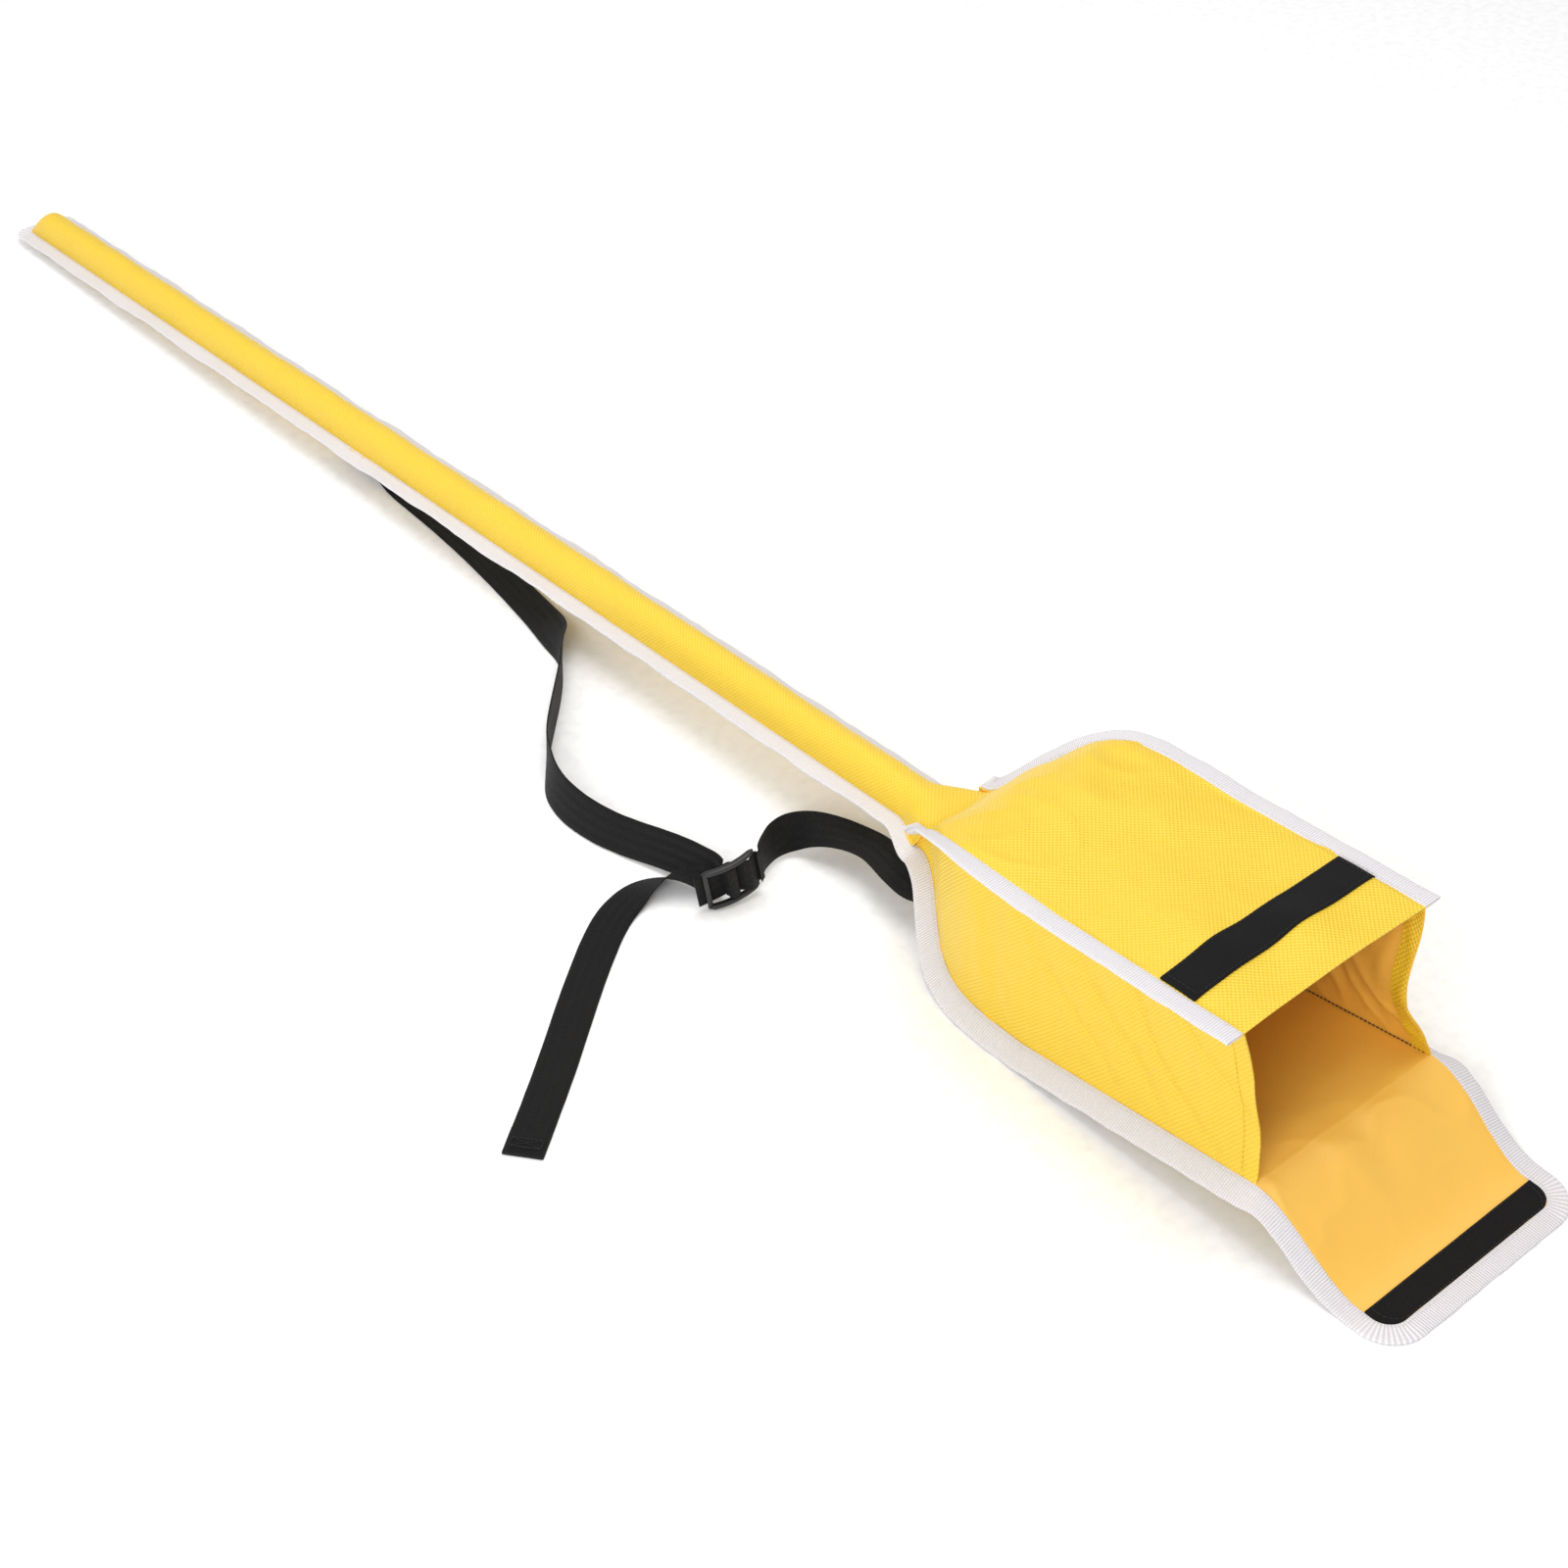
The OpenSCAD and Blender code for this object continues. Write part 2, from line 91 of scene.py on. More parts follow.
FLAP_SPLIT_X = (HINGE_X + SECOND_FOLD_X) / 2
FLAP_TOUCH = 80
CLOTH_T = 0.7
TAPE_T = 2.0
WEB_W = 25
WEB_T = 1.4
SLIDER_TURN, SLIDER_TIP = -11, 8

# Strap routes: x, y, z of the webbing's middle, and the angle of its width above the surface.
LONG_ROUTE = [
    (-304, 2, 15.9, 0), (-280, 2, 16.5, 0), (-256, 1, 9, 0), (-228, 0, 0.8, 0), (-130, -7, 0.8, 0),
    (-34, -21, 2.8, 8), (8, -33, 9.6, 42), (32, -45, 12.6, 80), (58, -65, 12.8, 90),
    (104, -109, 12.8, 90), (126, -126, 12.6, 80), (148, -138, 12, 66), (172, -142, 11, 56),
    (198, -140, 10.6, 51), (222, -134, 10.8, 50), (256, -124, 13.7, 51), (286, -119, 16.8, 62),
    (298, -118, 17.6, 76),
]
SHORT_ROUTE = [
    (306, -91, 20.8, 84), (300, -83, 18.8, 82), (293, -68, 16, 72), (294, -54, 15.6, 54),
    (304, -43, 17.6, 30), (324, -35, 21, 10), (350, -32, 24.6, 4), (380, -38, 27.4, 8),
    (397, -38, 28.4, 20), (405, -25, 30.6, 31), (405, -5, 33, 33),
]
TAIL_ROUTE = [
    (298, -125, 13.4, 100), (284, -128, 13, 76), (271, -137, 9.8, 46), (264, -150, 6, 24),
    (264, -166, 2.2, 7), (274, -190, 0.8, 0), (304, -231, 0.8, 0), (354, -292, 0.8, 0),
    (396, -346, 0.8, 0),
]
SHORT_FROM_CASE = [(x, y, z, -roll) for x, y, z, roll in SHORT_ROUTE[::-1]]
SLIDER_AT = np.array([307.0, -116.0, 19.0])


# ---------- small functions ----------


def ease(t):
    return (1 - np.cos(np.pi * np.clip(t, 0, 1))) / 2


def mix(a, b, t):
    return a + (b - a) * t


def bump(d, width):
    """1 at d = 0, falling smoothly to 0 over a few widths."""
    return np.exp(-((d / width) ** 2))


def soft_noise(u, v, seed):
    """Smooth noise from about -0.7 to 0.7 at each pair of coordinates."""
    u, v, w = np.broadcast_arrays(np.asarray(u, float), np.asarray(v, float), float(0) + seed)
    values = [noise.noise(Vector(point)) for point in zip(u.ravel(), v.ravel(), w.ravel())]
    return np.array(values).reshape(u.shape)


def fold_noise(u, v, seed):
    """Noise with narrow ridges, for creases, from 0 to about 1."""
    return np.clip(1 - 3.2 * np.abs(soft_noise(u, v, seed)), 0, 1) ** 2


def unit(v):
    return v / np.maximum(np.linalg.norm(v, axis=-1, keepdims=True), 1e-9)


def toward_neck(x, shoulder_x):
    return np.clip((shoulder_x - x) / (shoulder_x - NECK_X), 0, 1)


def back_half_w(x):
    return mix(HALF_W, NECK_HALF, ease(toward_neck(x, BACK_SHOULDER_X) ** 1.9))


def back_z(x):
    flat = mix(MOUTH_Z, SHOULDER_Z, (HINGE_X - x) / (HINGE_X - BACK_SHOULDER_X))
    rise = mix(SHOULDER_Z, NECK_Z, ease(toward_neck(x, BACK_SHOULDER_X) ** 2.8))
    return np.where(x > BACK_SHOULDER_X, flat, rise)


def front_half_w(x):
    return mix(HALF_W, NECK_HALF, ease(toward_neck(x, FRONT_SHOULDER_X) ** 2.6))


def front_z(x):
    flat = mix(MOUTH_TOP_Z, FRONT_SHOULDER_Z, (MOUTH_X - x) / (MOUTH_X - FRONT_SHOULDER_X))
    fall = mix(FRONT_SHOULDER_Z, NECK_TOP_Z, ease(toward_neck(x, FRONT_SHOULDER_X) ** 2.6))
    return np.where(x > FRONT_SHOULDER_X, flat, fall)


def seam_z(x):
    return mix(NECK_Z, TIP_Z, (NECK_X - x) / (NECK_X - TIP_X))


def flare(x):
    return ease((x - NECK_X + 34) / 34)


def seam_half_w(x):
    return mix(15 - (NECK_X - x) / (NECK_X - TIP_X), NECK_HALF, flare(x))


def tip_fall(x):
    return np.sqrt(1 - np.clip(1 - (x - TIP_X) / 26, 0, 1) ** 2 * 0.86)


def flap_z(x):
    return mix(MOUTH_Z - 0.6, 0.6, ease((x - HINGE_X) / FLAP_TOUCH))


def flap_taper(points):
    """The far side of the flap runs in a little towards its end."""
    points = np.array(points, float)
    x, y = points[..., 0], points[..., 1]
    points[..., 1] = y - 7 * ease((x - HINGE_X - 8) / 80) * np.clip(y / HALF_W, 0, 1)
    return points


def mouth_plane_x(z):
    return HINGE_X - (HINGE_X - MOUTH_X) * (z - MOUTH_Z) / (MOUTH_TOP_Z - MOUTH_Z)


def plan_normal(half_w, x):
    """Outward normal, in plan, of the far side's outline."""
    n = np.stack([half_w(x - 0.5) - half_w(x + 0.5), np.ones_like(x), np.zeros_like(x)], axis=-1)
    return unit(n)


# ---------- mesh building ----------


def make_mesh(name, verts, faces, materials, face_material=None, uv=None, sharp=55):
    """A smooth mesh from points in millimetres. uv gives one pair in millimetres for each point."""
    mesh = bpy.data.meshes.new(name)
    mesh.from_pydata((np.asarray(verts) * MM).tolist(), [], faces)
    if face_material is not None:
        mesh.polygons.foreach_set("material_index", np.asarray(face_material, dtype=np.int32))
    if uv is not None:
        layer = mesh.uv_layers.new(name="UVMap")
        index = np.zeros(len(mesh.loops), dtype=np.int32)
        mesh.loops.foreach_get("vertex_index", index)
        layer.data.foreach_set("uv", np.asarray(uv, dtype=np.float32)[index].ravel())
    for m in materials:
        mesh.materials.append(m)
    mesh.polygons.foreach_set("use_smooth", [True] * len(mesh.polygons))
    mesh.set_sharp_from_angle(angle=math.radians(sharp))
    mesh.update()
    obj = bpy.data.objects.new(name, mesh)
    bpy.context.collection.objects.link(obj)
    return obj


def grid_normals(grid):
    du = np.gradient(grid, axis=0)
    dv = np.gradient(grid, axis=1)
    return unit(np.cross(du, dv))


def grid_faces(n, m, start=0, flip=False):
    i, j = np.meshgrid(np.arange(n - 1), np.arange(m - 1), indexing="ij")
    a = (start + i * m + j).ravel()
    quads = np.stack([a, a + m, a + m + 1, a + 1], axis=1)
    return quads[:, ::-1] if flip else quads


def cloth(name, grid, outside, inside, thickness=CLOTH_T):
    """A sheet of fabric from a grid of points on its outer face. The grid's normals point outwards."""
    n, m = grid.shape[:2]
    inner = grid - grid_normals(grid) * thickness
    verts = np.concatenate([grid.reshape(-1, 3), inner.reshape(-1, 3)])
    faces = [*grid_faces(n, m).tolist(), *grid_faces(n, m, n * m, True).tolist()]
    material = [0] * ((n - 1) * (m - 1)) + [1] * ((n - 1) * (m - 1))
    border = [(i, 0) for i in range(n)] + [(n - 1, j) for j in range(1, m)]
    border += [(i, m - 1) for i in range(n - 2, -1, -1)] + [(0, j) for j in range(m - 2, 0, -1)]
    ring = [i * m + j for i, j in border]
    for k, a in enumerate(ring):
        b = ring[(k + 1) % len(ring)]
        faces.append([a, a + n * m, b + n * m, b])
        material.append(0)
    u = np.cumsum(np.linalg.norm(np.diff(grid[:, m // 2], axis=0, prepend=grid[:1, m // 2]), axis=1))
    step = np.linalg.norm(np.diff(grid, axis=1, prepend=grid[:, :1]), axis=2)
    v = np.cumsum(step, axis=1)
    v = v - v[:, m // 2 : m // 2 + 1]
    uv = np.stack([np.broadcast_to(u[:, None], (n, m)), v], axis=-1).reshape(-1, 2)
    return make_mesh(name, verts, faces, [outside, inside], material, np.concatenate([uv, uv]))


def loft(name, rings, material, uv=None, closed=False, sharp=55):
    """A skin through rings of points, with flat ends."""
    rings = np.asarray(rings, float)
    n, m = rings.shape[:2]
    faces = []
    for i in range(n if closed else n - 1):
        for k in range(m):
            a, b = i * m + k, i * m + (k + 1) % m
            c, d = ((i + 1) % n) * m + (k + 1) % m, ((i + 1) % n) * m + k
            faces.append([a, b, c, d])
    if not closed:
        faces.append(list(range(m))[::-1])
        faces.append([(n - 1) * m + k for k in range(m)])
    return make_mesh(name, rings.reshape(-1, 3), faces, [material], uv=uv, sharp=sharp)


TAPE_ACROSS = np.array([0.0, 0.06, 0.2, 0.4, 0.6, 0.8, 0.93, 0.98, 1.0])
TAPE_HALF = np.array([0.30, 0.45, 0.5, 0.5, 0.5, 0.5, 0.46, 0.32, 0.12])


def tape(name, inner, outer, up, material, thickness=TAPE_T, seed=1.0, ripple=0.5, start_s=0.0):
    """Binding folded over an edge, between its inner and outer lines."""
    inner, outer, up = (np.asarray(a, float) for a in (inner, outer, up))
    s = start_s + np.cumsum(np.linalg.norm(np.diff(inner, axis=0, prepend=inner[:1]), axis=1))
    wave = soft_noise(s / 13, 0 * s, seed) + 0.6 * soft_noise(s / 31, 0 * s, seed + 9)
    edge = soft_noise(s / 17, 0 * s, seed + 5) * 0.7
    across = unit(outer - inner)
    outer = outer + across * edge[:, None]
    profile = [(a, h) for a, h in zip(TAPE_ACROSS, TAPE_HALF)]
    profile += [(a, -h) for a, h in zip(TAPE_ACROSS[::-1], TAPE_HALF[::-1])]
    rings, uv = [], []
    width = np.linalg.norm(outer - inner, axis=1)
    for a, h in profile:
        lift = h * thickness + ripple * wave * a
        rings.append(mix(inner, outer, a) + up * lift[:, None])
        uv.append(np.stack([s, a * width], axis=-1))
    rings = np.stack(rings, axis=1)
    rings[..., 2] = np.maximum(rings[..., 2], 0.15)
    return loft(name, rings, material, uv=np.stack(uv, axis=1).reshape(-1, 2))


def resample(line, pitch, values=None):
    """Evenly spaced points along a line, or the values that go with its points there."""
    line = np.asarray(line, float)
    values = line if values is None else np.asarray(values, float)
    s = np.concatenate([[0], np.cumsum(np.linalg.norm(np.diff(line, axis=0), axis=1))])
    at = np.linspace(0, s[-1], max(int(s[-1] / pitch), 2) + 1)
    return np.stack([np.interp(at, s, values[:, k]) for k in range(3)], axis=1)


# Each ring of a stitch: its place along the stitch, its share of the radius, and its height in radii.
STITCH_RINGS = [(0.1, 0.4, -0.25), (0.25, 1.0, 0.25), (0.5, 1.0, 0.4), (0.75, 1.0, 0.25), (0.9, 0.4, -0.25)]


def stitches(name, line, up, material, pitch=3.4, radius=0.26):
    """A row of short threads that lie along a line, each dipping into the fabric at its ends."""
    points = resample(line, pitch)
    ups = resample(line, pitch, np.broadcast_to(np.asarray(up, float), (len(line), 3)))
    verts, faces = [], []
    for k in range(len(points) - 1):
        a, b, n = points[k], points[k + 1], ups[k]
        d = unit(b - a)
        side = unit(np.cross(d, n))
        n = np.cross(side, d)
        base = len(verts)
        for t, r, h in STITCH_RINGS:
            c = a + (b - a) * t + n * h * radius
            for q in range(5):
                ang = 2 * math.pi * q / 5
                verts.append(c + radius * r * (math.cos(ang) * side + math.sin(ang) * n))
        for i in range(4):
            for q in range(5):
                p, p2 = base + i * 5 + q, base + i * 5 + (q + 1) % 5
                faces.append([p, p2, p2 + 5, p + 5])
        faces.append([base + q for q in range(4, -1, -1)])
        faces.append([base + 20 + q for q in range(5)])
    return make_mesh(name, verts, faces, [material], sharp=80)


# ---------- materials ----------


class Nodes:
    """A short way to build a material's node tree."""

    def __init__(self, name):
        self.material = bpy.data.materials.new(name)
        self.material.use_nodes = True
        self.tree = self.material.node_tree
        self.shader = self.tree.nodes["Principled BSDF"]

    def add(self, kind, **inputs):
        node = self.tree.nodes.new(kind)
        for key, value in inputs.items():
            self.put(node, key, value)
        return node

    def put(self, node, key, value):
        socket = node.inputs[int(key[1:])] if key[0] == "i" and key[1:].isdigit() else node.inputs[key]
        if isinstance(value, bpy.types.NodeSocket):
            self.tree.links.new(value, socket)
        else:
            socket.default_value = value

    def math(self, operation, a, b=0.0, c=0.0):
        node = self.add("ShaderNodeMath", i0=a, i1=b, i2=c)
        node.operation = operation
        return node.outputs[0]

    def wave(self, coordinate, period, phase=0.0):
        """Sine of a coordinate in millimetres."""
        return self.math("SINE", self.math("MULTIPLY_ADD", coordinate, 2 * math.pi / period, phase))

    def uv(self):
        split = self.add("ShaderNodeSeparateXYZ", i0=self.add("ShaderNodeUVMap").outputs[0])
        return split.outputs[0], split.outputs[1]

    def place(self):
        return self.add("ShaderNodeTexCoord").outputs["Object"]

    def noise(self, vector, scale, detail=3.0, roughness=0.5):
        node = self.add("ShaderNodeTexNoise", Vector=vector, Scale=scale, Detail=detail, Roughness=roughness)
        return node.outputs[0]

    def colour_mix(self, factor, a, b):
        node = self.add("ShaderNodeMix")
        node.data_type = "RGBA"
        self.put(node, "i0", factor)
        for index, value in ((6, a), (7, b)):
            if isinstance(value, bpy.types.NodeSocket):
                self.tree.links.new(value, node.inputs[index])
            else:
                node.inputs[index].default_value = (*value, 1)
        return node.outputs[2]

    def bump(self, height, distance, strength=1.0, normal=None):
        node = self.add("ShaderNodeBump", Height=height, Distance=distance, Strength=strength)
        if normal is not None:
            self.put(node, "Normal", normal)
        return node.outputs[0]

    def finish(self, **inputs):
        for key, value in inputs.items():
            self.put(self.shader, key.replace("_", " "), value)
        return self.material


def woven_fabric():
    """Outside of the coated fabric: a basket weave, its colour painted lighter on the thread crowns (painted
    highlight) and darker in the gaps (painted shade).
    """
    n = Nodes("woven_fabric")
    u, v = n.uv()
    weave = n.math("MULTIPLY", n.wave(u, 3.2), n.wave(v, 3.2))
    thread = n.math("MULTIPLY", n.wave(u, 0.8), n.wave(v, 0.8))
    height = n.math("MULTIPLY_ADD", thread, 0.15, weave)
    crown = n.math("MULTIPLY_ADD", weave, 0.5, 0.5)
    patches = n.noise(n.place(), 14.0, 2.0)
    # Painted highlight and shade: the colour follows the weave's height, lighter on the crowns and darker in
    # the gaps between threads.
    base = n.colour_mix(crown, (0.80, 0.50, 0.016), (0.96, 0.70, 0.045))
    tone = n.colour_mix(n.math("MULTIPLY", patches, 0.4), base, (0.92, 0.60, 0.026))
    creases = n.noise(n.place(), 60.0, 4.0, 0.6)
    soft = n.bump(creases, 0.0022, 0.35)
    return n.finish(
        Base_Color=tone,
        Roughness=n.math("MULTIPLY_ADD", crown, -0.25, 0.55),
        Normal=n.bump(height, 0.00024, 0.9, soft),
        Specular_IOR_Level=0.6,
    )


def coated_inside():
    """Inside of the fabric: a smooth, slightly glossy coating with faint marks of the weave."""
    n = Nodes("coated_inside")
    u, v = n.uv()
    weave = n.math("MULTIPLY", n.wave(u, 3.0), n.wave(v, 3.0))
    tone = n.colour_mix(n.noise(n.place(), 10.0, 2.0), (0.90, 0.50, 0.072), (0.93, 0.56, 0.098))
    soft = n.bump(n.noise(n.place(), 45.0, 3.0), 0.0015, 0.25)
    return n.finish(
        Base_Color=tone,
        Roughness=0.48,
        Normal=n.bump(weave, 0.00003, 0.6, soft),
        Specular_IOR_Level=0.45,
    )


def binding_tape():
    """White ribbed tape. Its ribs run across it, with painted shade in the grooves between them, and it takes
    a warm tint from the fabric under it.
    """
    n = Nodes("binding_tape")
    u, v = n.uv()
    rib = n.math("MULTIPLY_ADD", n.wave(u, 1.7), 0.5, 0.5)
    yarn = n.wave(v, 0.9)
    fine = n.math("MULTIPLY_ADD", yarn, 0.22, rib)
    patch = n.noise(n.place(), 30.0, 2.0)
    # Painted shade: the colour follows the ribs, darker in the grooves and whiter on the rib tops.
    tone = n.colour_mix(rib, (0.70, 0.665, 0.705), (0.92, 0.91, 0.94))
    warm = n.colour_mix(n.math("MULTIPLY", patch, 0.07), tone, (0.95, 0.72, 0.42))
    return n.finish(
        Base_Color=warm,
        Roughness=0.72,
        Normal=n.bump(fine, 0.0004, 1.0),
        Sheen_Weight=0.1,
    )


def webbing_weave():
    n = Nodes("webbing")
    u, v = n.uv()
    rib = n.wave(u, 1.5)
    lean = n.wave(n.math("ADD", u, n.math("PINGPONG", v, 3.1)), 1.5)
    height = n.math("MULTIPLY_ADD", lean, 0.7, n.math("MULTIPLY", rib, 0.5))
    crown = n.math("MULTIPLY_ADD", height, 0.4, 0.5)
    # Painted highlight and shade: the colour follows the weave's height, lighter on the crowns and darker in
    # the grooves.
    tone = n.colour_mix(crown, (0.0015, 0.0015, 0.0016), (0.0085, 0.008, 0.0085))
    return n.finish(
        Base_Color=tone,
        Roughness=0.6,
        Normal=n.bump(height, 0.0003, 1.0),
        Specular_IOR_Level=0.22,
        Sheen_Weight=0.02,
    )


def pile(name, grain, depth):
    """Black hook or loop tape, with painted highlight and shade on its pile."""
    n = Nodes(name)
    u, v = n.uv()
    tuft = n.noise(n.place(), grain, 5.0, 0.7)
    rows = n.math("MULTIPLY_ADD", n.wave(v, 1.7), 0.12, tuft)
    # Painted highlight and shade: the same noise raises the pile and lightens it, so raised tufts are lighter
    # and hollows darker.
    tone = n.colour_mix(tuft, (0.001, 0.001, 0.0012), (0.009, 0.0085, 0.009))
    return n.finish(
        Base_Color=tone,
        Roughness=0.85,
        Normal=n.bump(rows, depth, 1.0),
        Specular_IOR_Level=0.2,
        Sheen_Weight=0.03,
    )


def plain(name, colour, roughness, grain=0.0):
    n = Nodes(name)
    normal = n.bump(n.noise(n.place(), 900.0, 3.0), 0.0001, grain)
    tone = n.colour_mix(n.noise(n.place(), 120.0), colour, tuple(c * 1.25 for c in colour))
    return n.finish(Base_Color=tone, Roughness=roughness, Normal=normal)


FABRIC = woven_fabric()
INSIDE = coated_inside()
BINDING = binding_tape()
WEBBING = webbing_weave()
LOOP = pile("loop_pile", 1500.0, 0.0005)
HOOK = pile("hook_pile", 1100.0, 0.0008)
PLASTIC = plain("slider_plastic", (0.012, 0.012, 0.013), 0.4, 0.3)
WHITE_THREAD = plain("white_thread", (0.66, 0.63, 0.64), 0.6)
YELLOW_THREAD = plain("yellow_thread", (0.70, 0.44, 0.03), 0.55)
BLACK_THREAD = plain("black_thread", (0.009, 0.009, 0.0095), 0.6)
SEAM_THREAD = plain("seam_thread", (0.10, 0.045, 0.012), 0.7)


# ---------- camera, light and floor ----------

AZIMUTH, ELEVATION, ROLL = math.radians(50.23), math.radians(39.17), math.radians(-1.26)
forward = Vector(
    (-math.sin(AZIMUTH) * math.cos(ELEVATION), math.cos(AZIMUTH) * math.cos(ELEVATION), -math.sin(ELEVATION))
)
level_right = forward.cross(Vector((0, 0, 1))).normalized()
level_up = level_right.cross(forward)
right = level_right * math.cos(ROLL) + level_up * math.sin(ROLL)
up = level_up * math.cos(ROLL) - level_right * math.sin(ROLL)
camera_data = bpy.data.cameras.new("camera")
camera_data.lens = 60.76
camera_data.sensor_width = 36
camera = bpy.data.objects.new("camera", camera_data)
camera.matrix_world = Matrix(
    (
        (right.x, up.x, -forward.x, 0),
        (right.y, up.y, -forward.y, 0),
        (right.z, up.z, -forward.z, 0),
        (0, 0, 0, 1),
    )
)
camera.location = Vector(((589.7 + HINGE_X) * MM, -893.9 * MM, 1120.6 * MM))
bpy.context.collection.objects.link(camera)
bpy.context.scene.camera = camera
bpy.context.scene.view_settings.view_transform = "Standard"


def area_light(name, place, target, size, power):
    data = bpy.data.lights.new(name, "AREA")
    data.shape = "SQUARE"
    data.size, data.energy = size, power
    light = bpy.data.objects.new(name, data)
    light.location = place
    light.rotation_euler = (Vector(target) - Vector(place)).to_track_quat("-Z", "Y").to_euler()
    bpy.context.collection.objects.link(light)


area_light("overhead", (0.0, 0.3, 2.6), (0.1, 0, 0), 1.9, 38)
area_light("front", (1.6, -2.2, 1.6), (0.3, 0, 0), 1.3, 32)
area_light("side", (-1.6, -1.6, 1.4), (-0.1, 0, 0), 1.6, 12)

world = bpy.data.worlds.new("world")
world.use_nodes = True
world.node_tree.nodes["Background"].inputs["Color"].default_value = (1, 1, 1, 1)
world.node_tree.nodes["Background"].inputs["Strength"].default_value = 0.52
bpy.context.scene.world = world

floor_material = plain("floor", (0.88, 0.88, 0.88), 0.95)
floor = make_mesh(
    "floor", [(-6000, -6000, 0), (6000, -6000, 0), (6000, 6000, 0), (-6000, 6000, 0)], [[0, 1, 2, 3]],
    [floor_material],
)


# ---------- strap ----------


def smooth_route(route, steps=8):
    """Curve through a route's points, kept above the surface."""
    points = np.array(route, float)
    padded_points = np.concatenate([points[:1], points, points[-1:]])
    out = []
    for i in range(len(points) - 1):
        a, b, c, d = padded_points[i : i + 4]
        for t in np.arange(steps) / steps:
            square = (2 * a - 5 * b + 4 * c - d) * t**2
            cube = (3 * b - a - 3 * c + d) * t**3
            out.append(0.5 * (2 * b + (c - a) * t + square + cube))
    out.append(points[-1])
    return np.array(out)


def strap_frames(line):
    """Middle, width direction and face normal along a strap."""
    middle, roll = line[:, :3].copy(), np.radians(line[:, 3])
    heading = np.gradient(middle, axis=0)
    heading[:, 2] = 0
    heading = unit(heading)
    left = np.stack([-heading[:, 1], heading[:, 0], 0 * roll], axis=1)
    width = np.cos(roll)[:, None] * left + np.sin(roll)[:, None] * np.array([0, 0, 1.0])
    face = np.cross(heading, width)
    clear = np.abs(width[:, 2]) * WEB_W / 2 + np.abs(face[:, 2]) * WEB_T / 2 + 0.1
    middle[:, 2] = np.maximum(middle[:, 2], clear)
    return middle, width, face


# Outline of the webbing's section, as shares of its width and thickness.
STRAP_SECTION = [
    (-0.5, -0.2), (-0.485, -0.42), (-0.44, -0.5), (-0.2, -0.5), (0, -0.5), (0.2, -0.5),
    (0.44, -0.5), (0.485, -0.42), (0.5, -0.2), (0.5, 0.2), (0.485, 0.42), (0.44, 0.5),
    (0.2, 0.5), (0, 0.5), (-0.2, 0.5), (-0.44, 0.5), (-0.485, 0.42), (-0.5, 0.2),
]


def strap(name, route, thick=None):
    """Webbing along a route. thick gives its thickness at each point of the smooth line."""
    middle, width, face = strap_frames(smooth_route(route))
    s = np.concatenate([[0], np.cumsum(np.linalg.norm(np.diff(middle, axis=0), axis=1))])
    t = np.full(len(s), WEB_T) if thick is None else thick(s)
    edge = 1 + 0.012 * soft_noise(s / 9, 0 * s, 3.3)
    rings, uv = [], []
    for a, h in STRAP_SECTION:
        rings.append(middle + width * (a * WEB_W * edge)[:, None] + face * (h * t)[:, None])
        uv.append(np.stack([s, np.full(len(s), a * WEB_W)], axis=1))
    obj = loft(name, np.stack(rings, axis=1), WEBBING, uv=np.stack(uv, axis=1).reshape(-1, 2))
    return obj, middle, width, face, s[-1]


def cross_stitches(name, middle, width, face, side):
    """A box of stitches on one face of a strap, where two layers are sewn."""
    a, b = middle[0], middle[-1]
    lift = face[0] * (WEB_T / 2 + 0.25) * side
    w0, w1 = width[0] * 9.5, width[-1] * 9.5
    corners = [a + w0 + lift, b + w1 + lift, b - w1 + lift, a - w0 + lift]
    line = [corners[0], corners[1], corners[2], corners[3], corners[0], corners[2], corners[1], corners[3]]
    return stitches(name, line, face[0] * side, BLACK_THREAD, pitch=2.8, radius=0.3)


def slider_place():
    return (
        Matrix.Translation(Vector(SLIDER_AT))
        @ Matrix.Rotation(math.radians(SLIDER_TURN), 4, "Z")
        @ Matrix.Rotation(math.radians(SLIDER_TIP), 4, "X")
    )


def in_slider(points):
    m = slider_place()
    return np.array([list(m @ Vector(p)) for p in points])


def rounded_bar(a, b, half_a, half_b, bulge=0.0, bulge_axis=(0, 0, 1), sides=14, rings=13):
    """Rings of a bar between two points in the slider's frame, with rounded section and ends."""
    a, b = np.array(a, float), np.array(b, float)
    d = unit(b - a)
    first = np.array([1.0, 0, 0])
    second = np.cross(d, first)
    out = []
    for t in np.linspace(0, 1, rings):
        c = mix(a, b, t) + np.array(bulge_axis) * bulge * 4 * t * (1 - t)
        end = min(t, 1 - t) * np.linalg.norm(b - a)
        k = math.sqrt(max(1 - max(1 - (end + 0.15) / 1.2, 0) ** 2, 0.02))
        ring = []
        for q in range(sides):
            ang = 2 * math.pi * q / sides
            co, si = math.cos(ang), math.sin(ang)
            co, si = math.copysign(abs(co) ** 0.6, co), math.copysign(abs(si) ** 0.6, si)
            ring.append(c + first * co * half_a * k + second * si * half_b * k)
        out.append(ring)
    return out


SLIDER_LEN, SLIDER_W, RAIL_W = 37, 32, 3.0


